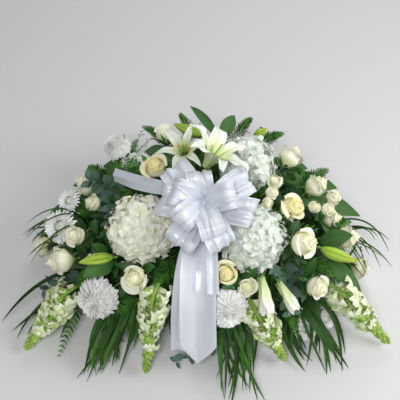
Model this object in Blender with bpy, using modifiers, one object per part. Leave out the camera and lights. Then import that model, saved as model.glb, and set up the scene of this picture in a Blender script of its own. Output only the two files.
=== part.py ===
"""A flower spray: white blooms, greenery and a satin bow in a foam tray, laid on its back.

Metres, +Z up. The origin is the middle of the tray's underside, on which the spray rests.
The ribbon tails lie over the front, which is -Y. Each bloom's place is the pixel at which a
400 by 400 photograph shows it, brought onto a mound of real size.
"""

import math
import random

import bmesh
import bpy
from mathutils import Vector
from mathutils.bvhtree import BVHTree

# The mound that the blooms stand on: half length, half depth and height
MOUND = Vector((0.36, 0.27, 0.24))

# The photograph's view: its height above the horizon, its distance, the size of a pixel at
# the origin, and the pixel that shows the origin
VIEW_RISE = math.radians(58)
VIEW_DISTANCE = 1.7
PIXEL = 0.0023
ORIGIN_PIXEL = (205, 250)
TOWARDS_VIEWER = Vector((0, -math.cos(VIEW_RISE), math.sin(VIEW_RISE)))
UP_IN_VIEW = Vector((0, math.sin(VIEW_RISE), math.cos(VIEW_RISE)))

# Tray and foam
TRAY_SIZE = Vector((0.40, 0.19, 0.028))
TRAY_WALL = 0.0025
TRAY_CORNER = 0.02
FOAM_SIZE = Vector((0.37, 0.16, 0.088))
FOAM_CHAMFER = 0.018
CLEARANCE = 0.0004
HOLE_TURNS = 4
HOLE_GROWTH = 1 / math.cos(math.pi / HOLE_TURNS)
FLOOR_GAP = 0.004
STEM_SHARE = Vector((0.40, 0.215, 0.10))
STEM_LEVEL = 0.042
ROOT_DEPTH = 0.62
ROOT_LEVEL = 0.05
ROOT_TRIES = 40
GROW_TRIES = 80
GROW_STRAY = 0.03
SHAKE = 4
SHAKE_DEPTH = 0.06
ROOT_STRAY = 0.5
BRANCH_STEP = 0.07

# Blooms, stems and blades
ROSE_RADIUS = 0.029
MUM_RADIUS = 0.036
STEM_RADIUS = 0.0024
THICK_STEM_RADIUS = 0.0036
FINE_STEM_RADIUS = 0.0016
BRANCH_TURNS = 5
BLADE_THICKNESS = 0.0010
RIBBON_WIDTH = 0.070
RIBBON_THICKNESS = 0.0012

UP = Vector((0, 0, 1))
COLOURS = {
    "green_plastic": ((0.03, 0.12, 0.05), 0.45),
    "foam": ((0.07, 0.20, 0.10), 0.95),
    "stake_wood": ((0.20, 0.30, 0.14), 0.80),
    "satin": ((0.90, 0.91, 0.96), 0.30),
    "hydrangea_white": ((0.86, 0.90, 0.82), 0.60),
    "rose_cream": ((0.88, 0.86, 0.70), 0.55),
    "mum_white": ((0.92, 0.92, 0.90), 0.60),
    "lily_white": ((0.90, 0.91, 0.82), 0.50),
    "snapdragon": ((0.78, 0.84, 0.55), 0.60),
    "lily_green": ((0.10, 0.26, 0.06), 0.45),
    "fern_green": ((0.04, 0.15, 0.04), 0.60),
    "eucalyptus": ((0.13, 0.24, 0.19), 0.70),
    "grass_green": ((0.06, 0.18, 0.04), 0.50),
}


def clear_scene():
    for obj in list(bpy.data.objects):
        bpy.data.objects.remove(obj)


def finish(kind):
    """The material of one kind of piece, made once."""
    if kind in bpy.data.materials:
        return bpy.data.materials[kind]
    colour, roughness = COLOURS[kind]
    material = bpy.data.materials.new(kind)
    material.use_nodes = True
    shader = material.node_tree.nodes["Principled BSDF"]
    shader.inputs["Base Color"].default_value = (*colour, 1)
    shader.inputs["Roughness"].default_value = roughness
    shader.inputs["Metallic"].default_value = 0
    return material


clear_scene()
spray = bpy.data.collections.new("flower_spray")
cutters = bpy.data.collections.new("cutters")
bpy.context.scene.collection.children.link(spray)
bpy.context.scene.collection.children.link(cutters)
spray_axis = bpy.data.objects.new("spray_axis", None)
spray.objects.link(spray_axis)
placed = []
stems = []


def mound_point(pixel, depth=1.0, floor=FLOOR_GAP):
    """The point of the mound, grown by depth, that the view shows at a pixel, never under floor."""
    eye = TOWARDS_VIEWER * VIEW_DISTANCE
    right = (pixel[0] - ORIGIN_PIXEL[0]) * PIXEL
    up = (ORIGIN_PIXEL[1] - pixel[1]) * PIXEL
    ray = Vector((right, 0, 0)) + UP_IN_VIEW * up - eye
    start = Vector([e / (half * depth) for e, half in zip(eye, MOUND)])
    slope = Vector([r / (half * depth) for r, half in zip(ray, MOUND)])
    nearest = -start.dot(slope) / slope.length_squared
    inside = nearest**2 - (start.length_squared - 1) / slope.length_squared
    point = eye + ray * (nearest - math.sqrt(max(0.0, inside)))
    if point.z < floor:
        point = eye + ray * ((floor - eye.z) / ray.z)
    return point


def stem_foot(point):
    """Where in the foam the stem of a bloom at this point ends, so that no two stems cross."""
    low = Vector((0, 0, STEM_LEVEL))
    return low + Vector([p * share for p, share in zip(point, STEM_SHARE)])


def frame_of(direction, hint=UP):
    """(side, up) at right angles to a direction, with up as near to hint as it can be."""
    side = direction.cross(hint)
    if side.length < 1e-3:
        side = direction.cross(Vector((0, 1, 0)))
    side.normalize()
    return side, side.cross(direction).normalized()


def ring(centre, direction, radii, hint=UP):
    """A ring of points about a direction, one for each radius, or for each (radius, lift) pair."""
    side, up = frame_of(direction, hint)
    points = []
    for turn, radius in enumerate(radii):
        reach, lift = radius if isinstance(radius, tuple) else (radius, 0)
        angle = 2 * math.pi * turn / len(radii)
        across = side * math.cos(angle) - up * math.sin(angle)
        points.append(centre + across * -reach + direction * lift)
    return points


def ring_mesh(rings, foot, tip):
    """A closed mesh through rings of points: a UV sphere whose rings are moved onto them."""
    turns = len(rings[0])
    bands = len(rings) + 1
    bm = bmesh.new()
    bmesh.ops.create_uvsphere(bm, u_segments=turns, v_segments=bands, radius=1)
    place = {}
    for vert in bm.verts:
        band = round((1 - math.acos(max(-1, min(1, vert.co.z))) / math.pi) * bands)
        turn = round(math.atan2(vert.co.x, vert.co.y) / (2 * math.pi) * turns) % turns
        place[vert] = (band, turn)
    for face in [f for f in bm.faces if len(f.verts) == 4]:
        low = min(place[v][0] for v in face.verts)
        lower = [v for v in face.verts if place[v][0] == low]
        upper = [v for v in face.verts if place[v][0] != low]
        even = min(lower, key=lambda v: place[v][1] % 2)
        odd = next(v for v in upper if place[v][1] != place[even][1])
        bmesh.utils.face_split(face, even, odd)
    for vert, (band, turn) in place.items():
        if band == 0:
            vert.co = foot
        elif band == bands:
            vert.co = tip
        else:
            vert.co = rings[band - 1][turn]
    return bm


def piece_of(bm, name="piece"):
    """A loose object from a bmesh, in world space, to be fused or placed."""
    bmesh.ops.recalc_face_normals(bm, faces=bm.faces)
    if bm.calc_volume(signed=True) < 0:
        bmesh.ops.reverse_faces(bm, faces=bm.faces)
    mesh = bpy.data.meshes.new(name)
    bm.to_mesh(mesh)
    bm.free()
    return bpy.data.objects.new(name, mesh)


def fuse(pieces):
    """One closed body from pieces that overlap."""
    whole, others = pieces[0], pieces[1:]
    if not others:
        return whole
    group = bpy.data.collections.new("pieces")
    bpy.context.scene.collection.children.link(group)
    spray.objects.link(whole)
    for other in others:
        group.objects.link(other)
    join = whole.modifiers.new("join", "BOOLEAN")
    join.operation = "UNION"
    join.operand_type = "COLLECTION"
    join.collection = group
    # The exact solver is slow on this many pieces
    join.solver = "MANIFOLD"
    graph = bpy.context.evaluated_depsgraph_get()
    fused = bpy.data.meshes.new_from_object(whole.evaluated_get(graph))
    for used in [whole, *others]:
        bpy.data.objects.remove(used)
    bpy.data.collections.remove(group)
    bm = bmesh.new()
    bm.from_mesh(fused)
    drop_scraps(bm)
    return piece_of(bm)


def drop_scraps(bm):
    """Keeps the largest body of a mesh, and removes what a union left loose."""
    bodies, left = [], set(bm.verts)
    while left:
        body, edge = set(), [left.pop()]
        while edge:
            vert = edge.pop()
            body.add(vert)
            near = {e.other_vert(vert) for e in vert.link_edges} & left
            left -= near
            edge.extend(near)
        bodies.append(body)
    bodies.sort(key=len)
    for body in bodies[:-1]:
        bmesh.ops.delete(bm, geom=list(body), context="VERTS")


def sheet_piece(bm, thickness):
    """An open sheet made solid, split into triangles alike on both faces."""
    mesh = bpy.data.meshes.new("sheet")
    bmesh.ops.triangulate(bm, faces=bm.faces)
    bmesh.ops.recalc_face_normals(bm, faces=bm.faces)
    bm.to_mesh(mesh)
    bm.free()
    obj = bpy.data.objects.new("sheet", mesh)
    spray.objects.link(obj)
    shell = obj.modifiers.new("shell", "SOLIDIFY")
    shell.thickness = thickness
    shell.offset = 0
    graph = bpy.context.evaluated_depsgraph_get()
    made = bpy.data.meshes.new_from_object(obj.evaluated_get(graph))
    bpy.data.objects.remove(obj)
    bm = bmesh.new()
    bm.from_mesh(made)
    bmesh.ops.triangulate(bm, faces=bm.faces)
    return piece_of(bm)


def tree_of(obj):
    """What a piece in world space is tested with, to see whether another crosses it."""
    corners = [v.co.copy() for v in obj.data.vertices]
    return BVHTree.FromPolygons(corners, [list(f.vertices) for f in obj.data.polygons])


def crosses(obj, also=()):
    tree = tree_of(obj)
    return any(tree.overlap(other) for other in (*placed, *also))


def place(obj, name, kind, origin):
    """Names a finished body, gives it its material and hangs it on the spray's axis."""
    placed.append(tree_of(obj))
    for vert in obj.data.vertices:
        vert.co -= origin
    obj.name = name
    obj.data.name = name
    obj.data.materials.clear()
    obj.data.materials.append(finish(kind))
    obj.location = origin
    obj.parent = spray_axis
    obj.data.shade_smooth()
    obj.data.set_sharp_from_angle(angle=math.radians(40))
    spray.objects.link(obj)
    return obj


def tube(points, radius, turns=6):
    """A round stem through points."""
    rings = []
    for index, point in enumerate(points):
        ahead = points[min(index + 1, len(points) - 1)]
        behind = points[max(index - 1, 0)]
        rings.append(ring(point, (ahead - behind).normalized(), [radius] * turns))
    return piece_of(ring_mesh(rings, points[0], points[-1]))


def note_stem(foot, towards, radius):
    """Keeps a stem's line, for the plain hole that it stands in."""
    stems.append((foot, (towards - foot).normalized(), radius))


def rooted(name, pixel, radius, branches=lambda root, foot: []):
    """(foot, root, pieces) of a cluster: the stem, and the branches that leave it at its root."""
    draw = random.Random(name)
    turns = BRANCH_TURNS if radius > FINE_STEM_RADIUS else HOLE_TURNS
    pieces = []
    for attempt in range(ROOT_TRIES):
        for piece in pieces:
            bpy.data.objects.remove(piece)
        reach = attempt * ROOT_STRAY
        near = (pixel[0] + draw.uniform(-reach, reach), pixel[1] + draw.uniform(-reach, reach))
        root = mound_point(near, ROOT_DEPTH, ROOT_LEVEL)
        foot = stem_foot(root)
        pieces = [tube([foot, root], radius, turns), *branches(root, foot)]
        if not any(crosses(piece) for piece in pieces):
            break
    note_stem(foot, root, radius)
    return foot, root, pieces


def arch(base, tip, rise, steps):
    """Points from base to tip along an arch that stands rise above the straight line halfway."""
    points = []
    for step in range(steps + 1):
        share = step / steps
        straight = base.lerp(tip, share)
        points.append(straight + UP * (4 * rise * share * (1 - share)))
    return points


def blade(points, widths, trough=0.15, face=UP):
    """A leaf or grass blade along points: a keel below and two edges raised by trough."""
    rings = []
    for index in range(1, len(points) - 1):
        half = widths[index] / 2
        along = (points[index + 1] - points[index - 1]).normalized()
        side, up = frame_of(along, face)
        lift = up * (half * trough)
        thick = up * (BLADE_THICKNESS * 0.6)
        centre = points[index]
        edges = (centre + side * half + lift, centre - side * half + lift)
        rings.append([edges[0], centre - thick, edges[1], centre + thick])
    return piece_of(ring_mesh(rings, points[0], points[-1]))


def grow(name, foot, pieces, spots, piece_near, kind):
    """Places pieces fused with one more near each spot, drawn again until it crosses nothing."""
    foam = tree_of(foam_block())
    for index, spot in enumerate(spots):
        draw = random.Random(f"{name} {index}")
        for attempt in range(GROW_TRIES):
            piece = piece_near(draw, spot, 1 + attempt * GROW_STRAY)
            if not crosses(piece, [foam]):
                pieces.append(piece)
                break
            bpy.data.objects.remove(piece)
    place(fuse(pieces), name, kind, foot)


def shaken(pixel, depth, draw, stray):
    """A point near the one that a pixel and depth give, moved by a random draw."""
    reach = SHAKE * stray
    near = (pixel[0] + draw.uniform(-reach, reach), pixel[1] + draw.uniform(-reach, reach))
    return mound_point(near, depth * (1 + SHAKE_DEPTH * draw.uniform(-stray, stray)), FLOOR_GAP * 2)


def head_frame(pixel, depth, floor, face_viewer):
    """(head's centre, its stem's foot, its axis): along the stem, turned a share to the viewer."""
    centre = mound_point(pixel, depth, floor)
    foot = stem_foot(centre)
    axis = (centre - foot).normalized()
    return centre, foot, axis.lerp(TOWARDS_VIEWER, face_viewer).normalized()


def headed(foot, base, axis, stem_radius, profile):
    """The rings of a straight stem and of the head on it; profile holds (height, radii) rings."""
    line = (base - foot).normalized()
    stem = [stem_radius] * len(profile[0][1])
    rings = [ring(foot, line, stem, TOWARDS_VIEWER), ring(base, line, stem, TOWARDS_VIEWER)]
    for height, radii in profile:
        rings.append(ring(base + axis * height, axis, radii, TOWARDS_VIEWER))
    return rings


# Rose: rings of (height, radius, share by which its five petals stand out), as parts of the
# head's radius, from the sepals up the outer petals and in over two inner rings of petals
ROSE_TURNS = 10
ROSE_RINGS = (
    (0.40, 0.86, 0.04),
    (1.28, 1.04, 0.10),
    (1.02, 0.74, 0.0),
    (1.52, 0.70, -0.12),
    (1.20, 0.42, 0.0),
)
ROSE_TIP = 1.66
ROSE_MIDDLE = 0.75

ROSES = {
    "rose_01": ((163, 134), 1.00, 0.92, 0.00),
    "rose_02": ((155, 168), 1.08, 0.92, 0.35),
    "rose_03": ((289, 157), 1.02, 1.00, 0.00),
    "rose_04": ((87, 187), 0.98, 0.90, 0.15),
    "rose_05": ((94, 205), 0.93, 0.68, 0.25),
    "rose_06": ((77, 237), 1.02, 0.80, 0.35),
    "rose_07": ((93, 236), 0.79, 0.66, 0.35),
    "rose_08": ((45, 247), 1.00, 0.86, 0.00),
    "rose_09": ((64, 262), 1.06, 1.05, 0.10),
    "rose_10": ((97, 263), 0.88, 0.82, 0.25),
    "rose_11": ((137, 278), 1.02, 0.92, 0.50),
    "rose_12": ((226, 273), 0.98, 0.88, 0.60),
    "rose_13": ((247, 286), 1.00, 0.70, 0.45),
    "rose_14": ((316, 285), 1.02, 0.88, 0.20),
    "rose_15": ((302, 242), 1.06, 1.05, 0.05),
    "rose_16": ((291, 208), 1.04, 0.98, 0.15),
    "rose_17": ((315, 186), 1.00, 0.96, 0.10),
    "rose_18": ((345, 236), 0.99, 0.98, 0.05),
    "rose_19": ((358, 265), 0.98, 0.84, 0.05),
    "rose_20": ((331, 218), 0.94, 0.74, 0.20),
}


def rose_piece(start, base, axis, size, profile_rings, turns):
    """A rose on its stem, from start to the base of its head."""
    profile = []
    for height, reach, lobe in profile_rings:
        radii = []
        for turn in range(turns):
            out = lobe * (-1) ** turn
            radii.append((size * reach * (1 + out), -size * out * 0.5))
        profile.append((height * size, radii))
    rings = headed(start, base, axis, STEM_RADIUS, profile)
    return piece_of(ring_mesh(rings, start, base + axis * (ROSE_TIP * size)))


def make_rose(name, pixel, depth, scale, face_viewer):
    size = ROSE_RADIUS * scale
    centre, foot, axis = head_frame(pixel, depth, size * 1.15, face_viewer)
    base = centre - axis * (ROSE_MIDDLE * size)
    note_stem(foot, base, STEM_RADIUS)
    place(rose_piece(foot, base, axis, size, ROSE_RINGS, ROSE_TURNS), name, "rose_cream", foot)


# Two stems of small spray roses, each with its blooms as (pixel, depth, share of a rose)
SPRAY_ROSES = {
    "spray_rose_left": ((271, 196), (
        ((276, 181), 1.02, 0.42),
        ((271, 192), 1.07, 0.38),
        ((268, 202), 1.04, 0.34),
    )),
    "spray_rose_right": ((322, 208), (
        ((314, 206), 1.05, 0.36),
        ((327, 208), 1.09, 0.38),
        ((333, 197), 1.06, 0.44),
    )),
}
SPRAY_ROSE_TURNS = 8
SPRAY_ROSE_RINGS = ((0.40, 0.86, 0.04), (1.28, 1.0, 0.12), (0.95, 0.55, 0.0))


def make_spray_rose(name, root_pixel, blooms):
    def branches(root, foot):
        roses = []
        for index, (pixel, depth, scale) in enumerate(blooms):
            size = ROSE_RADIUS * scale
            start = root.lerp(foot, 0.02 + BRANCH_STEP * index)
            centre = mound_point(pixel, depth)
            axis = (centre - start).normalized()
            base = centre - axis * (ROSE_MIDDLE * size)
            roses.append(rose_piece(start, base, axis, size, SPRAY_ROSE_RINGS, SPRAY_ROSE_TURNS))
        return roses

    foot, _, pieces = rooted(name, root_pixel, STEM_RADIUS, branches)
    place(fuse(pieces), name, "rose_cream", foot)


# Hydrangea: a ball whose cube grid carries florets of four raised petals round a sunk eye
CELLS_A_FLORET = 4
HYDRANGEAS = {
    "hydrangea_1": ((142, 230), 0.86, 0.072, 2),
    "hydrangea_2": ((251, 238), 0.86, 0.070, 2),
    "hydrangea_3": ((247, 164), 0.90, 0.061, 2),
    "hydrangea_4": ((137, 169), 0.83, 0.034, 1),
}
PETAL_RELIEF = 0.09


def floret_relief(steps):
    """How far a point of a floret's grid stands out, from its place in the floret."""
    across, along = (step % CELLS_A_FLORET for step in steps)
    if 0 in (across, along):
        return -0.7
    if across == along == 2:
        return -0.1
    return 0.35 if 2 in (across, along) else 1.0


def make_hydrangea(name, pixel, depth, radius, florets_across):
    centre, foot, axis = head_frame(pixel, depth, radius, 0.0)
    side, up = frame_of(axis)
    steps = florets_across * CELLS_A_FLORET
    bm = bmesh.new()
    bmesh.ops.create_cube(bm, size=2)
    bmesh.ops.subdivide_edges(bm, edges=bm.edges, cuts=steps - 1, use_grid_fill=True)
    for vert in bm.verts:
        grid = [round((c + 1) * steps / 2) for c in vert.co]
        inner = [g for g in grid if g not in (0, steps)]
        relief = floret_relief(inner) if len(inner) == 2 else -0.7
        flat = Vector([math.tan(c * math.pi / 4) for c in vert.co]).normalized()
        vert.co = centre + (side * flat.x + up * flat.y + axis * flat.z) * (
            radius * (0.93 + PETAL_RELIEF * relief)
        )
    bmesh.ops.triangulate(bm, faces=bm.faces)
    stalk = tube([foot, centre - axis * (0.6 * radius)], THICK_STEM_RADIUS, BRANCH_TURNS)
    note_stem(foot, centre, THICK_STEM_RADIUS)
    place(fuse([piece_of(bm), stalk]), name, "hydrangea_white", foot)


# Chrysanthemum: rings of (height, tip's reach, groove's reach, turn by which its petals shift)
MUM_RINGS = (
    (-0.02, 1.00, 0.60, 0),
    (0.10, 0.56, 0.56, 0),
    (0.30, 0.88, 0.46, 1),
    (0.34, 0.42, 0.42, 0),
    (0.54, 0.58, 0.28, 0),
    (0.46, 0.22, 0.22, 0),
)
MUM_BASE = 0.5
MUM_TIP = 0.62
MUMS = {
    "mum_1": ((((69, 202), 1.02, 0.64, 0.25), ((61, 228), 1.03, 0.92, 0.25)), (68, 214), 12),
    "mum_2": ((((99, 299), 1.00, 1.08, 0.35),), None, 16),
    "mum_3": ((((229, 307), 1.00, 1.00, 0.25),), None, 16),
    "mum_4": ((((116, 147), 1.03, 0.80, 0.25),), (114, 162), 16),
    "mum_5": ((((306, 326), 1.00, 0.68, 0.2), ((326, 317), 1.02, 0.56, 0.35)), (314, 306), 12),
    "mum_6": ((((190, 137), 0.98, 0.56, 0.3),), None, 12),
}


def mum_pieces(start, centre, axis, size, turns):
    """A chrysanthemum, rings of petals whose tips and grooves take turns, and its stem."""
    rings = []
    for height, peak, groove, shift in MUM_RINGS:
        radii = [size * (peak if (turn + shift) % 2 == 0 else groove) for turn in range(turns)]
        rings.append(ring(centre + axis * (height * size), axis, radii, TOWARDS_VIEWER))
    base = centre - axis * (MUM_BASE * size)
    head = piece_of(ring_mesh(rings, base, centre + axis * (MUM_TIP * size)))
    return [head, tube([start, centre], STEM_RADIUS, BRANCH_TURNS)]


def make_mum(name, heads, root_pixel, turns):
    """One chrysanthemum, or several that share a stem from its root."""
    def branches(root, foot):
        mums = []
        for index, (pixel, depth, scale, face_viewer) in enumerate(heads):
            size = MUM_RADIUS * scale
            centre, _, axis = head_frame(pixel, depth, size * 1.06, face_viewer)
            start = root.lerp(foot, 0.02 + BRANCH_STEP * index)
            mums.extend(mum_pieces(start, centre, axis, size, turns))
        return mums

    if root_pixel:
        foot, _, pieces = rooted(name, root_pixel, STEM_RADIUS, branches)
        place(fuse(pieces), name, "mum_white", foot)
        return
    pixel, depth, scale, face_viewer = heads[0]
    size = MUM_RADIUS * scale
    centre, foot, axis = head_frame(pixel, depth, size * 1.06, face_viewer)
    note_stem(foot, centre, STEM_RADIUS)
    place(fuse(mum_pieces(foot, centre, axis, size, turns)), name, "mum_white", foot)


# Lily: six pointed petals that part from the throat's funnel. An outline is how far the ring
# follows a petal, at each turn from one petal's middle to the next
PETAL_OUTLINE = (1.0, 0.84, 0.40, 0.84)
TRUMPET_OUTLINE = (1.0, 0.78)
OPEN_SHARES = (0.35, 0.7, 1.0)
TRUMPET_SHARES = (0.5, 1.0)
LILY_WALL = 0.0012
LILY_SEAT = 0.03
THROAT = 0.006


def lily_funnel(share, length, spread):
    """(reach, height) along a petal's middle: up out of the throat, then out and curled back."""
    reach = THROAT + length * spread * share**1.5
    height = length * (1 - 0.55 * spread) * math.sin(share * (1.2 + 0.9 * spread)) / math.sin(1.2)
    return reach, height


def lily_pieces(start, base, axis, length, spread, outline, shares):
    """The star of six petals that opens from a throat at base, and its stem from start."""
    bm = bmesh.new()
    heart = bm.verts.new(base)
    rows = []
    for share in shares:
        radii = []
        for turn in range(6 * len(outline)):
            radii.append(lily_funnel(share * outline[turn % len(outline)], length, spread))
        rows.append([bm.verts.new(point) for point in ring(base, axis, radii, TOWARDS_VIEWER)])
    for turn in range(len(rows[0])):
        bm.faces.new((heart, rows[0][turn - 1], rows[0][turn]))
        for low, high in zip(rows, rows[1:]):
            bm.faces.new((low[turn - 1], high[turn - 1], high[turn], low[turn]))
    star = sheet_piece(bm, LILY_WALL)
    return [star, tube([start, base + axis * (LILY_SEAT * length)], STEM_RADIUS, BRANCH_TURNS)]


LILIES = {
    "lily_1": ((205, 166), 1.20, (217, 150), 1.36, 0.090, 0.85),
    "lily_2": ((184, 154), 1.08, (182, 144), 1.24, 0.058, 0.90),
}


def make_lily(name, pixel, depth, aim_pixel, aim_depth, length, spread):
    throat = mound_point(pixel, depth)
    foot = stem_foot(throat)
    axis = (mound_point(aim_pixel, aim_depth) - throat).normalized()
    note_stem(foot, throat + axis * (LILY_SEAT * length), STEM_RADIUS)
    lily = fuse(lily_pieces(foot, throat, axis, length, spread, PETAL_OUTLINE, OPEN_SHARES))
    place(lily, name, "lily_white", foot)


# Two half-open lilies on one stem, as (throat pixel, depth, tip pixel, depth, spread)
LILY_TRUMPETS = (
    ((262, 276), 1.10, (268, 316), 1.18, 0.17),
    ((279, 281), 1.02, (297, 312), 1.10, 0.12),
)
TRUMPET_ROOT = (268, 268)


def make_lily_trumpets():
    def branches(root, foot):
        trumpets = []
        for index, (pixel, depth, tip_pixel, tip_depth, spread) in enumerate(LILY_TRUMPETS):
            throat = mound_point(pixel, depth)
            reach = mound_point(tip_pixel, tip_depth) - throat
            start = root.lerp(foot, 0.02 + BRANCH_STEP * index)
            shape = (reach.normalized(), reach.length, spread, TRUMPET_OUTLINE, TRUMPET_SHARES)
            trumpets.extend(lily_pieces(start, throat, *shape))
        return trumpets

    foot, _, pieces = rooted("lily_trumpets", TRUMPET_ROOT, STEM_RADIUS, branches)
    place(fuse(pieces), "lily_trumpets", "lily_white", foot)


# Lily stems with a bud, leaves or both: (base pixel, depth, tip pixel, depth) and the width, and
# the leaves that hang behind the mound, by their turn from +Y in degrees
BUD_SHAPE = ((0.08, 0.45), (0.30, 0.92), (0.55, 1.0), (0.80, 0.62))
BUD_TURNS = 6
BUD_SEAT = 0.12
LILY_STEMS = {
    "lily_bud_left": {
        "root": (106, 254),
        "bud": ((114, 258), 1.02, (79, 264), 1.20, 0.027),
        "leaves": (
            ((118, 265), 1.00, (84, 279), 1.16, 0.043),
            ((110, 254), 1.02, (92, 245), 1.10, 0.018),
        ),
    },
    "lily_bud_right": {
        "root": (318, 252),
        "bud": ((321, 247), 1.04, (357, 260), 1.14, 0.029),
        "leaves": (
            ((320, 240), 1.00, (353, 234), 1.16, 0.038),
            ((328, 262), 1.03, (361, 290), 1.18, 0.034),
        ),
    },
    "lily_bud_top_left": {
        "root": (199, 146),
        "bud": ((200, 136), 1.06, (172, 123), 1.10, 0.029),
        "leaves": (),
        "hanging": (-76, -58, -42, -24, -8),
    },
    "lily_bud_top_right": {
        "root": (258, 128),
        "bud": ((254, 135), 1.02, (267, 127), 1.12, 0.024),
        "leaves": (),
    },
    "lily_leaves_top": {
        "root": (217, 150),
        "bud": None,
        "leaves": (
            ((218, 134), 1.06, (189, 105), 1.24, 0.022),
            ((222, 138), 1.06, (234, 114), 1.16, 0.034),
        ),
        "hanging": (10, 26, 42, 58, 76),
    },
}
LEAF_STEPS = 5
LEAF_RISE = 0.10
STALK_WIDTH = 0.004

# The two ends of a hanging leaf, as (share of the mound's half width and depth, height)
HANGING_ENDS = ((0.62, 0.094), (1.02, 0.046))
HANGING_WIDTH = 0.054
HANGING_SHAKE = math.radians(4)
HANGING_RISE = 0.008


def bud_pieces(start, base, tip, width):
    """A lily bud from base to tip, and the stem that holds it."""
    line = tip - base
    rings = []
    for share, swell in BUD_SHAPE:
        radii = [width / 2 * swell * (1 if turn % 2 else 0.86) for turn in range(BUD_TURNS)]
        rings.append(ring(base + line * share, line.normalized(), radii, TOWARDS_VIEWER))
    stem = tube([start, base + line * BUD_SEAT], STEM_RADIUS, BRANCH_TURNS)
    return [stem, piece_of(ring_mesh(rings, base, tip))]


def leaf_piece(start, base, tip, width):
    """A broad leaf on a short stalk: widest a little before its middle, drawn to a point."""
    points = [start, start.lerp(base, 0.5)]
    widths = [STALK_WIDTH, STALK_WIDTH]
    for step, point in enumerate(arch(base, tip, LEAF_RISE * (tip - base).length, LEAF_STEPS)):
        share = step / LEAF_STEPS
        points.append(point)
        widths.append(max(STALK_WIDTH, width * math.sin(math.pi * share**0.85) ** 0.7))
    return blade(points, widths, 0.22, TOWARDS_VIEWER)


def behind(turn, share, height):
    """A point behind the mound, a turn from +Y about its axis."""
    return Vector((MOUND.x * math.sin(turn), MOUND.y * math.cos(turn), 0)) * share + UP * height


def make_lily_stem(name, root_pixel, bud, leaves, hanging):
    def branches(root, foot):
        parts = []
        start = root.lerp(foot, 0.03)
        for part in [bud, *leaves]:
            if part is None:
                continue
            pixel, depth, tip_pixel, tip_depth, width = part
            base = mound_point(pixel, depth)
            tip = mound_point(tip_pixel, tip_depth, FLOOR_GAP * 2)
            if part is bud:
                parts.extend(bud_pieces(start, base, tip, width))
            else:
                parts.append(leaf_piece(start, base, tip, width))
        return parts

    foot, root, pieces = rooted(name, root_pixel, STEM_RADIUS, branches)

    def hanging_leaf(draw, degrees, stray):
        turn = math.radians(degrees) + HANGING_SHAKE * draw.uniform(-stray, stray)
        rise = HANGING_RISE * draw.uniform(-stray, stray)
        ends = [behind(turn, share, height + rise) for share, height in HANGING_ENDS]
        return leaf_piece(root.lerp(foot, 0.03), *ends, HANGING_WIDTH)

    grow(name, foot, pieces, hanging, hanging_leaf, "lily_green")


# Snapdragon spikes: (pixel and depth where the florets begin, and at the tip)
SNAPDRAGONS = {
    "snapdragon_1": ((71, 292), 1.04, (28, 350), 1.2),
    "snapdragon_2": ((157, 289), 1.06, (148, 371), 1.1),
    "snapdragon_3": ((254, 306), 1.02, (285, 357), 1.1),
    "snapdragon_4": ((336, 286), 1.04, (388, 340), 1.2),
}
SPIKE_TURNS = 8
SPIKE_TIERS = 12
SPIKE_RADIUS = 0.028
SPIKE_TIP_RADIUS = 0.006
SPIKE_GROOVE = 0.48
SPIKE_TIP_LEVEL = 0.016
SPIKE_SEAT = 0.06


def make_snapdragon(name, pixel, depth, tip_pixel, tip_depth):
    start = mound_point(pixel, depth, SPIKE_RADIUS * 1.1)
    tip = mound_point(tip_pixel, tip_depth, SPIKE_TIP_LEVEL)
    foot = stem_foot(start)
    line = tip - start
    rings = []
    for tier in range(SPIKE_TIERS):
        share = tier / SPIKE_TIERS
        peak = SPIKE_TIP_RADIUS + (SPIKE_RADIUS - SPIKE_TIP_RADIUS) * (1 - share) ** 0.8
        peak = max(peak * min(1, 0.45 + share * 4), THICK_STEM_RADIUS)
        radii = [peak * (1 if (turn + tier) % 2 else SPIKE_GROOVE) for turn in range(SPIKE_TURNS)]
        rings.append(ring(start + line * share, line.normalized(), radii, TOWARDS_VIEWER))
    seat = start + line * SPIKE_SEAT
    note_stem(foot, seat, THICK_STEM_RADIUS)
    spike = piece_of(ring_mesh(rings, start - line.normalized() * THICK_STEM_RADIUS, tip))
    stem = tube([foot, seat], THICK_STEM_RADIUS, BRANCH_TURNS)
    place(fuse([spike, stem]), name, "snapdragon", foot)


# Bow: loops as (the pixel and depth of the loop's end, width as a share of the ribbon's, half
# height, and 1 or -1 for the upper or lower layer)
BOW_KNOT = ((204, 205), 1.10)
KNOT_RADIUS = 0.020
BOW_LOOPS = (
    ((171, 166), 1.22, 0.90, 0.024, -1),
    ((159, 200), 1.22, 0.90, 0.024, -1),
    ((178, 245), 1.23, 0.90, 0.022, -1),
    ((223, 245), 1.24, 0.80, 0.022, -1),
    ((254, 213), 1.27, 0.80, 0.020, -1),
    ((250, 177), 1.20, 0.85, 0.024, -1),
    ((198, 171), 1.32, 0.72, 0.020, 1),
    ((172, 190), 1.34, 0.75, 0.020, 1),
    ((180, 222), 1.34, 0.72, 0.020, 1),
    ((214, 234), 1.34, 0.70, 0.020, 1),
    ((234, 194), 1.36, 0.75, 0.020, 1),
)
LAYER_STEP = 0.010
PICK_RADIUS = 0.0015
PICK_POINT = 0.008
LOOP_STEPS = 7
PINCH = 0.12


def strip(points, widths, across, joined=False):
    """A ribbon through points, one quad wide, whose ends meet if it is joined."""
    bm = bmesh.new()
    edges = []
    for point, width in zip(points, widths):
        edges.append([bm.verts.new(point + across * (width / 2 * sign)) for sign in (-1, 1)])
    following = edges[1:] + edges[:1] if joined else edges[1:]
    for (a, b), (c, d) in zip(edges, following):
        bm.faces.new((a, b, d, c))
    return sheet_piece(bm, RIBBON_THICKNESS)


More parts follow.
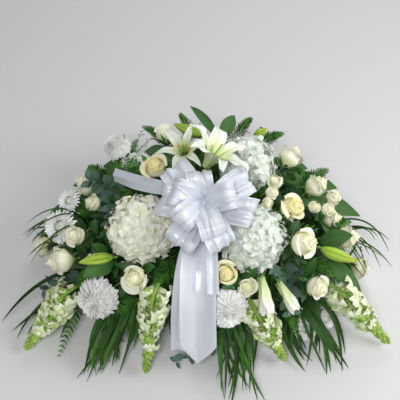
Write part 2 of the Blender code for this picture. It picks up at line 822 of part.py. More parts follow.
def loop_piece(knot, end, width, lift):
    """A bow loop: out from the knot to its end and back above itself."""
    out = end - knot
    side, up = frame_of(out.normalized(), TOWARDS_VIEWER)
    points, widths = [], []
    for step in range(LOOP_STEPS):
        turn = 2 * math.pi * step / LOOP_STEPS
        share = (1 - math.cos(turn)) / 2
        points.append(knot + out * share - up * (lift * math.sin(turn) * share**0.5))
        widths.append(RIBBON_WIDTH * width * (PINCH + (1 - PINCH) * math.sin(share * math.pi / 2)))
    return strip(points, widths, side, joined=True)


# Ribbon tails, each as (pixel, depth, width) points from below the knot to its cut end
TAIL_PINCH = 0.016
TAILS = (
    (
        ((201, 240), 1.04, 0.066), ((199, 275), 1.08, 0.070),
        ((199, 312), 1.12, 0.070), ((200, 345), 1.13, 0.070), ((199, 362), 1.12, 0.002),
    ),
    (
        ((190, 245), 1.01, 0.032), ((184, 275), 1.03, 0.034),
        ((181, 312), 1.05, 0.034), ((180, 350), 1.05, 0.030),
    ),
    (
        ((211, 240), 1.05, 0.022), ((213, 264), 1.12, 0.022),
        ((214, 294), 1.14, 0.022),
    ),
)


def make_bow():
    """The bow's loops, its knot and its tails, fused, and the pick that holds them up."""
    knot = mound_point(*BOW_KNOT)
    bm = bmesh.new()
    bmesh.ops.create_icosphere(bm, subdivisions=1, radius=KNOT_RADIUS)
    bmesh.ops.translate(bm, verts=bm.verts, vec=knot)
    pieces = [piece_of(bm)]
    for pixel, depth, width, lift, layer in BOW_LOOPS:
        start = knot + knot.normalized() * (LAYER_STEP * layer)
        pieces.append(loop_piece(start, mound_point(pixel, depth), width, lift))
    for spots in TAILS:
        points = [knot, *[mound_point(pixel, depth) for pixel, depth, _ in spots]]
        widths = [TAIL_PINCH, *[width for _, _, width in spots]]
        pieces.append(strip(points, widths, Vector((1, 0, 0))))
    place(fuse(pieces), "ribbon_bow", "satin", knot)
    foot = stem_foot(knot)
    line = (knot - foot).normalized()
    under_knot = placed[-1].ray_cast(foot, line)[0]
    seat = under_knot - line * CLEARANCE
    note_stem(foot, seat, PICK_RADIUS)
    ends = (foot, seat - line * PICK_POINT)
    rings = [ring(end, line, [PICK_RADIUS] * BUD_TURNS) for end in ends]
    place(piece_of(ring_mesh(rings, foot, seat)), "bow_pick", "stake_wood", foot)


def make_tray():
    """A shallow open tray: a box without its top, made solid inwards."""
    bm = bmesh.new()
    bmesh.ops.create_cube(bm, size=1)
    bmesh.ops.scale(bm, verts=bm.verts, vec=TRAY_SIZE)
    bmesh.ops.translate(bm, verts=bm.verts, vec=(0, 0, TRAY_SIZE.z / 2))
    corners = [e for e in bm.edges if abs(e.verts[0].co.z - e.verts[1].co.z) > TRAY_SIZE.z / 2]
    bmesh.ops.bevel(
        bm, geom=corners, offset=TRAY_CORNER, segments=3, profile=0.5, affect="EDGES"
    )
    top = [f for f in bm.faces if f.normal.z > 0.9]
    bmesh.ops.delete(bm, geom=top, context="FACES")
    tray = piece_of(bm)
    spray.objects.link(tray)
    shell = tray.modifiers.new("wall", "SOLIDIFY")
    shell.thickness = TRAY_WALL
    shell.offset = -1
    shell.use_even_offset = True
    graph = bpy.context.evaluated_depsgraph_get()
    made = bpy.data.meshes.new_from_object(tray.evaluated_get(graph))
    bpy.data.objects.remove(tray)
    place(bpy.data.objects.new("tray", made), "holder_tray", "green_plastic", Vector((0, 0, 0)))


def foam_block():
    bm = bmesh.new()
    bmesh.ops.create_cube(bm, size=1)
    bmesh.ops.scale(bm, verts=bm.verts, vec=FOAM_SIZE)
    level = TRAY_WALL + CLEARANCE + FOAM_SIZE.z / 2
    bmesh.ops.translate(bm, verts=bm.verts, vec=(0, 0, level))
    top = [e for e in bm.edges if min(v.co.z for v in e.verts) > level]
    bmesh.ops.bevel(bm, geom=top, offset=FOAM_CHAMFER, segments=1, affect="EDGES")
    return piece_of(bm)


def make_foam():
    """The foam block, with a plain hole for each stem."""
    block = foam_block()
    spray.objects.link(block)
    reach = FOAM_SIZE.x * 0.6
    for foot, line, radius in stems:
        start = foot - line * CLEARANCE
        cutter = tube([start, foot + line * reach], (radius + CLEARANCE) * HOLE_GROWTH, HOLE_TURNS)
        cutter.hide_render = True
        cutter.display_type = "WIRE"
        cutters.objects.link(cutter)
    cut = block.modifiers.new("holes", "BOOLEAN")
    cut.operation = "DIFFERENCE"
    cut.operand_type = "COLLECTION"
    cut.collection = cutters
    cut.solver = "MANIFOLD"
    graph = bpy.context.evaluated_depsgraph_get()
    made = bpy.data.meshes.new_from_object(block.evaluated_get(graph))
    bpy.data.objects.remove(block)
    place(bpy.data.objects.new("foam", made), "floral_foam", "foam", Vector((0, 0, 0)))


# Fern: clusters of fronds from one root, each frond as (base pixel, depth, tip pixel, depth)
FRONDS = {
    "fern_left": ((112, 215), 0.040, (
        ((122, 172), 0.80, (137, 138), 0.98),
        ((104, 176), 0.78, (86, 168), 1.02),
        ((96, 222), 0.80, (80, 212), 1.04),
        ((66, 236), 0.88, (36, 237), 1.06),
        ((100, 262), 0.80, (76, 290), 1.04),
    )),
    "fern_right": ((296, 214), 0.042, (
        ((286, 180), 0.80, (303, 168), 1.00),
        ((305, 182), 0.84, (330, 168), 1.02),
        ((276, 204), 0.84, (292, 222), 1.14),
        ((322, 236), 0.84, (352, 219), 1.04),
        ((308, 256), 0.84, (334, 276), 1.06),
    )),
    "fern_front": ((196, 286), 0.040, (
        ((171, 270), 0.86, (154, 288), 1.05),
        ((136, 300), 0.84, (110, 322), 1.00),
        ((86, 298), 0.92, (60, 362), 1.10),
        ((240, 296), 0.84, (262, 330), 1.00),
        ((286, 300), 0.86, (298, 336), 1.06),
        ((320, 296), 0.90, (352, 312), 1.04),
    )),
    "fern_back": ((205, 150), 0.046, (
        ((165, 140), 0.86, (140, 126), 1.00),
        ((190, 132), 0.86, (178, 112), 1.00),
        ((238, 132), 0.88, (252, 116), 1.04),
        ((262, 140), 0.86, (285, 132), 1.02),
    )),
}
FROND_PAIRS = 5
RIB_WIDTH = 0.0032
PINNA_SWEEP = 1.1
FROND_RISE = 0.10


def frond_piece(start, base, tip, width):
    """A fern frond: pairs of pointed pinnae on a rib, longest low down, on an arched strap."""
    points = [start, *arch(base, tip, FROND_RISE * (tip - base).length, FROND_PAIRS)]
    bm = bmesh.new()
    side, _ = frame_of((tip - base).normalized(), TOWARDS_VIEWER)
    rib = []
    for index, point in enumerate(points):
        half = RIB_WIDTH / 2 * (1 if index < len(points) - 1 else 0.5)
        rib.append([bm.verts.new(point + side * (half * sign)) for sign in (-1, 1)])
    for index, (low, high) in enumerate(zip(rib, rib[1:])):
        bm.faces.new((low[0], low[1], high[1], high[0]))
        if index == 0:
            continue
        share = (index - 1) / FROND_PAIRS
        reach = width / 2 * (1 - share) ** 0.75 * min(1, 0.75 + share * 1.6)
        ahead = points[index + 1] - points[index]
        for sign, a, b in ((-1, low[0], high[0]), (1, low[1], high[1])):
            end = points[index] + side * (reach * sign) + ahead * PINNA_SWEEP
            bm.faces.new((a, b, bm.verts.new(end)))
    return sheet_piece(bm, BLADE_THICKNESS)


def make_fern(name, root_pixel, width, fronds):
    foot, root, pieces = rooted(name, root_pixel, FINE_STEM_RADIUS)
    start = root.lerp(foot, 0.03)

    def frond_near(draw, spots, stray):
        pixel, depth, tip_pixel, tip_depth = spots
        base = shaken(pixel, depth, draw, stray)
        return frond_piece(start, base, shaken(tip_pixel, tip_depth, draw, stray), width)

    grow(name, foot, pieces, fronds, frond_near, "fern_green")


# Lily grass: tufts of strap blades from one root, to tips spread between two pixels
GRASS_TUFTS = {
    "lily_grass_left": ((128, 290), ((78, 390), 1.0), ((136, 352), 1.0), 9, 0.008),
    "lily_grass_far_left": ((100, 268), ((14, 330), 1.0), ((60, 345), 1.0), 6, 0.007),
    "lily_grass_centre": ((226, 296), ((222, 404), 1.0), ((262, 392), 1.0), 7, 0.007),
    "lily_grass_right": ((292, 292), ((286, 352), 1.0), ((352, 366), 1.0), 8, 0.008),
}
BEAR_GRASS = {
    "bear_grass_left": ((96, 232), ((12, 226), 1.25), ((30, 262), 1.2), 6, 0.0026),
    "bear_grass_right": ((330, 232), ((398, 236), 1.25), ((378, 290), 1.2), 6, 0.0026),
}
GRASS_STEPS = 4


def grass_piece(start, tip, width, rise):
    points = arch(start, tip, rise, GRASS_STEPS)
    rings = []
    for index in range(1, GRASS_STEPS):
        along = (points[index + 1] - points[index - 1]).normalized()
        side, up = frame_of(along, TOWARDS_VIEWER)
        half = width / 2 * (1 - 0.5 * (index / GRASS_STEPS) ** 2)
        keel = points[index] - up * (BLADE_THICKNESS * 1.5)
        rings.append([points[index] + side * half, keel, points[index] - side * half])
    return piece_of(ring_mesh(rings, start, tip))


def make_grass(name, root_pixel, first, last, blades, width):
    foot, root, pieces = rooted(name, root_pixel, FINE_STEM_RADIUS)
    start = root.lerp(foot, 0.03)
    tips = []
    for index in range(blades):
        share = index / (blades - 1)
        pixel = [a + (b - a) * share for a, b in zip(first[0], last[0])]
        tips.append((pixel, first[1] + (last[1] - first[1]) * share))

    def grass_near(draw, spot, stray):
        tip = shaken(*spot, draw, stray * 1.5)
        rise = (tip - start).length * draw.uniform(0.05, 0.3)
        return grass_piece(start, tip, width * draw.uniform(0.8, 1.2), rise)

    grow(name, foot, pieces, tips, grass_near, "grass_green")


# Eucalyptus: branches from one root, each as (base pixel, depth, tip pixel, depth)
EUCALYPTUS = {
    "eucalyptus_left": ((116, 208), (
        ((124, 196), 0.80, (88, 182), 1.06),
        ((120, 208), 0.78, (112, 224), 1.00),
        ((96, 280), 0.86, (44, 292), 1.04),
    )),
    "eucalyptus_right": ((298, 276), (
        ((281, 262), 0.86, (292, 312), 1.05),
        ((290, 270), 0.80, (330, 306), 0.98),
        ((250, 316), 0.90, (176, 362), 0.98),
    )),
}
SPRIG_PAIRS = 3
SPRIG_LEAF = 0.030
SPRIG_OUTLINE = ((0.55, 0.42), (1.0, 0.0), (0.55, -0.42))


def sprig_piece(start, base, tip, draw):
    """A strap of a branch with pairs of round-ended leaves, drawn as five-sided outlines."""
    points = [start, *arch(base, tip, FROND_RISE * (tip - base).length, SPRIG_PAIRS)]
    bm = bmesh.new()
    side, up = frame_of((tip - base).normalized(), TOWARDS_VIEWER)
    branch = []
    for index, point in enumerate(points):
        half = RIB_WIDTH / 2 * (1 if index < len(points) - 1 else 0.5)
        branch.append([bm.verts.new(point + side * (half * sign)) for sign in (-1, 1)])
    for index, (low, high) in enumerate(zip(branch, branch[1:])):
        bm.faces.new((low[0], low[1], high[1], high[0]))
        if index == 0:
            continue
        ahead = (points[index + 1] - points[index]).normalized()
        size = SPRIG_LEAF * (1.15 - 0.12 * index) * draw.uniform(0.85, 1.15)
        for sign, a, b in ((-1, low[0], high[0]), (1, low[1], high[1])):
            out = (side * sign + ahead * 0.5 + up * draw.uniform(-0.2, 0.2)).normalized()
            root = points[index] + ahead * ((points[index + 1] - points[index]).length / 2)
            rim = []
            for reach, wide in reversed(SPRIG_OUTLINE):
                rim.append(bm.verts.new(root + out * (size * reach) + ahead * (size * wide)))
            bm.faces.new((a, *rim, b))
    return sheet_piece(bm, BLADE_THICKNESS)


def make_eucalyptus(name, root_pixel, sprigs):
    foot, root, pieces = rooted(name, root_pixel, FINE_STEM_RADIUS)
    start = root.lerp(foot, 0.03)

    def sprig_near(draw, spots, stray):
        pixel, depth, tip_pixel, tip_depth = spots
        base = shaken(pixel, depth, draw, stray)
        return sprig_piece(start, base, shaken(tip_pixel, tip_depth, draw, stray), draw)

    grow(name, foot, pieces, sprigs, sprig_near, "eucalyptus")


make_tray()
for name, (pixel, depth, radius, florets_across) in HYDRANGEAS.items():
    make_hydrangea(name, pixel, depth, radius, florets_across)
make_bow()
for name, (pixel, depth, scale, face_viewer) in ROSES.items():
    make_rose(name, pixel, depth, scale, face_viewer)
for name, (root_pixel, blooms) in SPRAY_ROSES.items():
    make_spray_rose(name, root_pixel, blooms)
for name, (heads, root_pixel, turns) in MUMS.items():
    make_mum(name, heads, root_pixel, turns)
for name, (pixel, depth, aim_pixel, aim_depth, length, spread) in LILIES.items():
    make_lily(name, pixel, depth, aim_pixel, aim_depth, length, spread)
for name, (pixel, depth, tip_pixel, tip_depth) in SNAPDRAGONS.items():
    make_snapdragon(name, pixel, depth, tip_pixel, tip_depth)
make_lily_trumpets()
for name, parts in LILY_STEMS.items():
    make_lily_stem(name, parts["root"], parts["bud"], parts["leaves"], parts.get("hanging", ()))
for name, (root_pixel, width, fronds) in FRONDS.items():
    make_fern(name, root_pixel, width, fronds)
for name, (root_pixel, sprigs) in EUCALYPTUS.items():
    make_eucalyptus(name, root_pixel, sprigs)
for name, (root_pixel, first, last, blades, width) in {**GRASS_TUFTS, **BEAR_GRASS}.items():
    make_grass(name, root_pixel, first, last, blades, width)
make_foam()
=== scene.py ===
"""The looks of a white and green flower spray with a satin bow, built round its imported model.

Metres, +Z up, in the model's own frame. Each bloom is placed as the model places it: by the
pixel at which a 400 by 400 photograph shows it, brought onto a mound of real size.
"""

import math
import random

import bpy
import numpy as np
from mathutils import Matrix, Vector


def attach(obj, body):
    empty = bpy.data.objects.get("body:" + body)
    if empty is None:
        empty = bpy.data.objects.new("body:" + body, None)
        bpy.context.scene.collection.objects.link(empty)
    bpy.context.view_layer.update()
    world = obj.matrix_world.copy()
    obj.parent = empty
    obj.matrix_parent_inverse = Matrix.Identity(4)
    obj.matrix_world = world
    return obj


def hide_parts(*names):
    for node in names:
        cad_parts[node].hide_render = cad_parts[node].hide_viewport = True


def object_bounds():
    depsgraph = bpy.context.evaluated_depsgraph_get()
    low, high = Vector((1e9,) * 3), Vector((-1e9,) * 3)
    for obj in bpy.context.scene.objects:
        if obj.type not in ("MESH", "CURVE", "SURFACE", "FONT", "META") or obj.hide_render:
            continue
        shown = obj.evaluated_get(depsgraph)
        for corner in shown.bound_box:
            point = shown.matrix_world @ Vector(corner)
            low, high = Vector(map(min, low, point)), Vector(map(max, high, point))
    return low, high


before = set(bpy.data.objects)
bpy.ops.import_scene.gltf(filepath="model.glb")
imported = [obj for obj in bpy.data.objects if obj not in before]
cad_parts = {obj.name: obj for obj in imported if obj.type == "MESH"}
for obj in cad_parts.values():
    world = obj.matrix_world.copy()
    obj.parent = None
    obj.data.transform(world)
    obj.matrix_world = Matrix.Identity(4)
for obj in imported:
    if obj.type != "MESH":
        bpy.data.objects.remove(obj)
cad_low, cad_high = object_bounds()

# The mound and the photograph's view of it
MOUND = np.array((0.36, 0.27, 0.24))
VIEW_RISE = math.radians(58)
VIEW_DISTANCE = 1.7
PIXEL = 0.0023
ORIGIN_PIXEL = (205, 250)
TOWARDS_VIEWER = np.array((0, -math.cos(VIEW_RISE), math.sin(VIEW_RISE)))
UP_IN_VIEW = np.array((0, math.sin(VIEW_RISE), math.cos(VIEW_RISE)))
RIGHT = np.array((1.0, 0, 0))
UP = np.array((0, 0, 1.0))
IMAGE_SIZE = 400
SENSOR = 36

FLOOR_GAP = 0.004
STEM_SHARE = np.array((0.40, 0.215, 0.10))
STEM_LEVEL = 0.042
ROOT_DEPTH = 0.62
ROOT_LEVEL = 0.05
LEAF_LEVEL = 0.012
STEM_RADIUS = 0.0024
THICK_STEM_RADIUS = 0.0036
FINE_STEM_RADIUS = 0.0016
GOLDEN_TURN = math.pi * (3 - math.sqrt(5))

blooms = []


def mound_point(pixel, depth=1.0, floor=FLOOR_GAP):
    """The point of the mound, grown by depth, that the view shows at a pixel."""
    eye = TOWARDS_VIEWER * VIEW_DISTANCE
    right = (pixel[0] - ORIGIN_PIXEL[0]) * PIXEL
    up = (ORIGIN_PIXEL[1] - pixel[1]) * PIXEL
    ray = RIGHT * right + UP_IN_VIEW * up - eye
    start, slope = eye / (MOUND * depth), ray / (MOUND * depth)
    nearest = -start.dot(slope) / slope.dot(slope)
    inside = nearest**2 - (start.dot(start) - 1) / slope.dot(slope)
    point = eye + ray * (nearest - math.sqrt(max(0.0, inside)))
    if point[2] < floor:
        point = eye + ray * ((floor - eye[2]) / ray[2])
    return point


def both_ends(pixel, depth, tip_pixel, tip_depth, floor=FLOOR_GAP, tip_floor=FLOOR_GAP):
    """(base, tip) of a leaf, sprig or spike, each from its pixel and depth."""
    return mound_point(pixel, depth, floor), mound_point(tip_pixel, tip_depth, tip_floor)


def stem_foot(point):
    return np.array((0, 0, STEM_LEVEL)) + point * STEM_SHARE


def unit(vectors):
    return vectors / np.maximum(np.linalg.norm(vectors, axis=-1, keepdims=True), 1e-9)


def frame_of(direction, hint=UP):
    """(side, up) at right angles to a direction, with up as near to hint as it can be."""
    side = np.cross(direction, hint)
    if np.linalg.norm(side) < 1e-3:
        side = np.cross(direction, (0, 1, 0))
    side = unit(side)
    return side, unit(np.cross(side, direction))


def head_frame(pixel, depth, floor, face_viewer):
    """(head's centre, its stem's foot, its axis)."""
    centre = mound_point(pixel, depth, floor)
    foot = stem_foot(centre)
    axis = unit(centre - foot)
    return centre, foot, unit(axis + (TOWARDS_VIEWER - axis) * face_viewer)


def around(side, up, turn):
    """The direction at an angle from side towards up."""
    return side * math.cos(turn) + up * math.sin(turn)


def spot_at(origin, axis, turn=0.0):
    """The (origin, side, up, axis) that local points are measured along."""
    side = around(*frame_of(axis, TOWARDS_VIEWER), turn)
    return origin, side, np.cross(axis, side), axis


def headings(path):
    return unit(np.gradient(path, axis=0))


def read_along(rows, place):
    """What rows of points or directions are at some shares of the way along them."""
    share = np.linspace(0, 1, len(rows))
    return np.stack([np.interp(place, share, rows[:, k]) for k in range(3)], axis=-1)


def put(local, spot):
    origin, side, up, axis = spot
    return origin + local[..., :1] * side + local[..., 1:2] * up + local[..., 2:3] * axis


def moved(points, *moves):
    """Points moved along some directions, each by its own distances."""
    for direction, distance in moves:
        points = points + direction * distance[..., None]
    return points


def grid(rows, columns):
    """(u, v) of a sheet's points: u from -1 to 1 across it, v from 0 to 1 along it."""
    v, u = np.meshgrid(np.linspace(0, 1, rows), np.linspace(-1, 1, columns), indexing="ij")
    return u, v


def rounded(v, start, length, least):
    """1 up to start, then a round end that is done length further on."""
    return np.where(v > start, np.sqrt(np.maximum(least, 1 - ((v - start) / length) ** 2)), 1)


def ease(share):
    share = np.clip(share, 0, 1)
    return share * share * (3 - 2 * share)


def stacked(x, y, z):
    return np.stack(np.broadcast_arrays(x, y, z), axis=-1)


def turned(radius, angle, height):
    return stacked(radius * np.cos(angle), radius * np.sin(angle), height)


def curve_through(points, steps):
    """Points along a smooth curve through some points."""
    points = np.array(points, float)
    padded = np.vstack((2 * points[0] - points[1], points, 2 * points[-1] - points[-2]))
    made = []
    spans = len(points) - 1
    for place in np.linspace(0, spans, steps):
        span = min(int(place), spans - 1)
        t = place - span
        a, b, c, d = padded[span : span + 4]
        made.append(
            0.5 * (2 * b + (c - a) * t + (2 * a - 5 * b + 4 * c - d) * t**2
                   + (3 * b - a - 3 * c + d) * t**3)
        )
    return np.array(made)


def stray_by(draw, amount):
    return np.array([draw.gauss(0, amount) for _ in range(3)])


def arch(base, tip, rise, steps):
    """Points from base to tip along an arch that stands rise above the line halfway."""
    share = np.linspace(0, 1, steps)[:, None]
    return base + (tip - base) * share + UP * (4 * rise * share * (1 - share))


class Surface:
    """The sheets that make up one piece, with what its material reads at each point."""

    def __init__(self):
        self.points = []
        self.faces = []
        self.kinds = []
        self.values = {"along": [], "across": [], "tone": []}
        self.count = 0

    def patches(self, points, tones, kind=0, closed=False, along=None, across=None):
        """Adds sheets, each of rows by columns points; closed joins last columns to first ones."""
        sheets, rows, columns = points.shape[:3]
        u, v = grid(rows, columns)
        index = np.arange(rows * columns).reshape(rows, columns)
        if closed:
            index = np.hstack((index, index[:, :1]))
        faces = np.stack(
            (index[:-1, :-1], index[:-1, 1:], index[1:, 1:], index[1:, :-1]), axis=-1
        ).reshape(-1, 4)
        starts = self.count + rows * columns * np.arange(sheets)
        self.points.append(points.reshape(-1, 3))
        self.faces.append((faces + starts[:, None, None]).reshape(-1, 4))
        self.kinds.append(np.full(len(faces) * sheets, kind))
        along = v if along is None else along
        across = u if across is None else across
        for key, value in (("along", along), ("across", across)):
            self.values[key].append(np.broadcast_to(value, (sheets, rows, columns)).ravel())
        self.values["tone"].append(np.repeat(np.asarray(tones, float), rows * columns))
        self.count += sheets * rows * columns

    def patch(self, points, tone=0.5, kind=0, closed=False, along=None, across=None):
        """Adds one sheet of rows by columns points."""
        self.patches(points[None], [tone], kind, closed, along, across)

    def make(self, name, materials, slot, *nodes):
        """The piece as an object that rides on the model and stands for some of its nodes."""
        mesh = bpy.data.meshes.new(name)
        points, faces = np.concatenate(self.points), np.concatenate(self.faces)
        mesh.from_pydata(points.tolist(), [], faces.tolist())
        mesh.polygons.foreach_set("material_index", np.concatenate(self.kinds))
        for value, parts in self.values.items():
            attribute = mesh.attributes.new(value, "FLOAT", "POINT")
            attribute.data.foreach_set("value", np.concatenate(parts).astype(np.float32))
        mesh.shade_smooth()
        for material in materials:
            mesh.materials.append(material)
        obj = bpy.data.objects.new(name, mesh)
        bpy.context.scene.collection.objects.link(obj)
        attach(obj, "root")
        if nodes:
            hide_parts(*nodes)
        return obj


def tube(surface, path, radii, turns=8, tone=0.5, kind=1, along=None):
    """A round stem through points, closed to a point at both ends."""
    path = np.array(path, float)
    radii = np.broadcast_to(np.array(radii, float), (len(path),))
    ahead = headings(path)
    path, ahead = (np.vstack((rows[:1], rows, rows[-1:])) for rows in (path, ahead))
    radii = np.concatenate(((radii[0] * 0.05,), radii, (radii[-1] * 0.05,)))
    side, _ = frame_of(unit(path[-1] - path[0]), TOWARDS_VIEWER)
    angle = np.linspace(0, 2 * math.pi, turns, endpoint=False)
    rings = []
    for point, radius, direction in zip(path, radii, ahead):
        up = unit(np.cross(side, direction))
        side = unit(np.cross(direction, up))
        ring = np.outer(np.cos(angle), side) + np.outer(np.sin(angle), up)
        rings.append(point + ring * radius)
    surface.patch(np.array(rings), tone, kind, closed=True, along=along)


def spindle(surface, base, line, heights, radii, *looks, **more):
    """A round form on a line: its radius at some heights, as shares of the line's length."""
    tube(surface, [base + line * height for height in heights], radii, *looks, **more)


def cluster(name, pixel, radius):
    """(surface, draw, root) of a cluster, with its stem out of the foam to where its parts branch."""
    surface = Surface()
    root = mound_point(pixel, ROOT_DEPTH, ROOT_LEVEL)
    tube(surface, [stem_foot(root), root], radius)
    return surface, random.Random(name), root


def blade(surface, path, widths, facing, trough=0.2, columns=5, tone=0.5, kind=0, ruffle=0.0):
    """A leaf or petal along a path: widths across it, its edges raised by trough."""
    path = np.array(path, float)
    ahead = headings(path)
    side = unit(np.cross(ahead, facing))
    up = unit(np.cross(side, ahead))
    u, v = grid(len(path), columns)
    half = np.array(widths, float)[:, None] / 2
    lift = half * trough * np.abs(u) ** 1.4
    if ruffle:
        lift = lift + half * ruffle * np.sin(v * 19 + u * 2 + tone * 9) * u**2
    points = moved(path[:, None], (side[:, None], u * half), (up[:, None], lift))
    surface.patch(points, tone, kind)


# Materials. Each reads how far along and across its sheet a point is, and its sheet's tone
WANDER_SCALE = 70
BLOTCH_SCALE = 120
SKIN_GRAIN = 900


def new_material(name):
    material = bpy.data.materials.new(name)
    material.use_nodes = True
    return material, material.node_tree, material.node_tree.nodes["Principled BSDF"]


def node(tree, kind, **inputs):
    """A shader node with some inputs set or linked, by their names or numbers."""
    made = tree.nodes.new(kind)
    for key, value in inputs.items():
        by_number = key[0] == "i" and key[1:].isdigit()
        socket = made.inputs[int(key[1:]) if by_number else key]
        if isinstance(value, bpy.types.NodeSocket):
            tree.links.new(value, socket)
        else:
            socket.default_value = value
    return made


def maths(tree, operation, a, b=0.0):
    made = node(tree, "ShaderNodeMath", i0=a, i1=b)
    made.operation = operation
    return made.outputs[0]


def times(tree, a, b):
    return maths(tree, "MULTIPLY", a, b)


def plus(tree, a, b):
    return maths(tree, "ADD", a, b)


def minus(tree, a, b):
    return maths(tree, "SUBTRACT", a, b)


def ramp(tree, factor, stops):
    made = node(tree, "ShaderNodeValToRGB", Fac=factor)
    elements = made.color_ramp.elements
    while len(elements) < len(stops):
        elements.new(0.5)
    for element, (position, colour) in zip(elements, stops):
        element.position = position
        element.color = (*colour, 1)
    return made.outputs[0]


def attribute(tree, name):
    made = tree.nodes.new("ShaderNodeAttribute")
    made.attribute_name = name
    return made.outputs["Fac"]


def mixed(tree, factor, a, b, blend="MIX"):
    made = node(tree, "ShaderNodeMix")
    made.data_type = "RGBA"
    made.blend_type = blend
    for socket, value in ((made.inputs[0], factor), (made.inputs[6], a), (made.inputs[7], b)):
        if isinstance(value, bpy.types.NodeSocket):
            tree.links.new(value, socket)
        elif isinstance(value, tuple):
            socket.default_value = (*value, 1)
        else:
            socket.default_value = value
    return made.outputs[2]


def noise(tree, scale, detail=3.0):
    coordinates = tree.nodes.new("ShaderNodeTexCoord").outputs["Object"]
    return node(tree, "ShaderNodeTexNoise", Vector=coordinates, Scale=scale, Detail=detail).outputs[0]


def bumped(tree, shader, height, distance, strength):
    bump = node(tree, "ShaderNodeBump", Height=height, Distance=distance, Strength=strength)
    tree.links.new(bump.outputs[0], shader.inputs["Normal"])


def grown(name, stops, blotch, roughness, veins=0, vein_depth=0.0002, sheen=0.0, midrib=None,
          tone_range=0.16, gloss=0.5):
    """The material of a petal or leaf: its colours from base to tip, blotches, veins and grain."""
    material, tree, shader = new_material(name)
    along, across, tone = (attribute(tree, key) for key in ("along", "across", "tone"))
    wander = times(tree, minus(tree, noise(tree, WANDER_SCALE), 0.5), 0.25)
    colour = ramp(tree, plus(tree, along, wander), stops)
    colour = mixed(tree, times(tree, noise(tree, BLOTCH_SCALE), 0.5), colour, blotch)
    if midrib:
        near = minus(tree, 1.0, times(tree, maths(tree, "ABSOLUTE", across), 6.0))
        near = times(tree, maths(tree, "MAXIMUM", near, 0.0), 0.8)
        colour = mixed(tree, near, colour, midrib)
    dim = minus(tree, 1.0 + tone_range / 2, times(tree, tone, tone_range))
    grey = node(tree, "ShaderNodeCombineColor", i0=dim, i1=dim, i2=dim).outputs[0]
    colour = mixed(tree, 1.0, colour, grey, "MULTIPLY")
    tree.links.new(colour, shader.inputs["Base Color"])
    shader.inputs["Roughness"].default_value = roughness
    shader.inputs["Sheen Weight"].default_value = sheen
    shader.inputs["Specular IOR Level"].default_value = gloss
    height = times(tree, noise(tree, SKIN_GRAIN, 2.0), 0.4)
    if veins:
        lines = maths(tree, "SINE", times(tree, across, veins * math.pi))
        height = plus(tree, height, times(tree, lines, 0.5))
    bumped(tree, shader, height, vein_depth, 0.7)
    return material


# Both rose colours run from green at the petal's base through a bright, saturated yellow to cream: partly
# the rose's own yellow-green heart, partly a painted glow that stands in for light shining through the
# petals
rose_petal = grown(
    "rose_petal",
    ((0.0, (0.60, 0.70, 0.30)), (0.28, (0.90, 0.88, 0.52)),
     (0.55, (0.93, 0.92, 0.72)), (0.95, (0.94, 0.94, 0.83))),
    (0.92, 0.91, 0.70), 0.5, veins=9, vein_depth=0.00010, sheen=0.15, tone_range=0.06)
rose_cream_petal = grown(
    "rose_cream_petal",
    ((0.0, (0.62, 0.68, 0.24)), (0.28, (0.90, 0.83, 0.38)),
     (0.55, (0.93, 0.88, 0.55)), (0.95, (0.94, 0.93, 0.72))),
    (0.92, 0.87, 0.50), 0.5, veins=9, vein_depth=0.00010, sheen=0.15, tone_range=0.06)
# Both hydrangea colours are darker and greener at each petal's base: partly the floret's own green centre,
# partly painted shade for the shadow lines between petals
hydrangea_petal = grown(
    "hydrangea_petal", ((0.0, (0.56, 0.64, 0.40)), (0.3, (0.77, 0.82, 0.73)), (1.0, (0.84, 0.88, 0.86))),
    (0.78, 0.83, 0.74), 0.6, veins=5, vein_depth=0.00015, sheen=0.1, tone_range=0.20)
hydrangea_cream_petal = grown(
    "hydrangea_cream_petal",
    ((0.0, (0.70, 0.74, 0.42)), (0.3, (0.91, 0.91, 0.74)), (1.0, (0.95, 0.95, 0.91))),
    (0.92, 0.92, 0.72), 0.6, veins=5, vein_depth=0.00015, sheen=0.1, tone_range=0.20)
# Painted shade: the dim green of the ball that fills each hydrangea's depths between florets; the florets'
# small green eyes share it
hydrangea_eye_and_shade = grown(
    "hydrangea_eye_and_shade", ((0.0, (0.60, 0.66, 0.42)), (1.0, (0.66, 0.72, 0.48))), (0.50, 0.58, 0.34), 0.8)
mum_petal = grown(
    "mum_petal", ((0.0, (0.80, 0.82, 0.66)), (0.2, (0.92, 0.93, 0.90)), (1.0, (0.96, 0.96, 0.96))),
    (0.94, 0.94, 0.94), 0.6, veins=3, vein_depth=0.0002, tone_range=0.08)
lily_petal = grown(
    "lily_petal", ((0.0, (0.34, 0.50, 0.05)), (0.3, (0.68, 0.78, 0.32)), (0.65, (0.91, 0.92, 0.86))),
    (0.90, 0.91, 0.84), 0.42, veins=11, vein_depth=0.00025, midrib=(0.52, 0.68, 0.18))
snapdragon_petal = grown(
    "snapdragon_petal", ((0.0, (0.56, 0.72, 0.22)), (0.4, (0.84, 0.90, 0.58)), (1.0, (0.93, 0.95, 0.80))),
    (0.80, 0.88, 0.50), 0.6, veins=4, sheen=0.1, tone_range=0.25)
snapdragon_bud = grown(
    "snapdragon_bud", ((0.0, (0.14, 0.30, 0.04)), (0.5, (0.30, 0.48, 0.08)), (1.0, (0.48, 0.64, 0.17))),
    (0.26, 0.42, 0.06), 0.55, veins=3, tone_range=0.5, gloss=0.3)
bud_skin = grown(
    "bud_skin", ((0.0, (0.18, 0.42, 0.03)), (0.3, (0.44, 0.68, 0.06)), (1.0, (0.64, 0.80, 0.11))),
    (0.53, 0.74, 0.07), 0.42, veins=16, vein_depth=0.0008, midrib=(0.14, 0.34, 0.03), gloss=0.4)
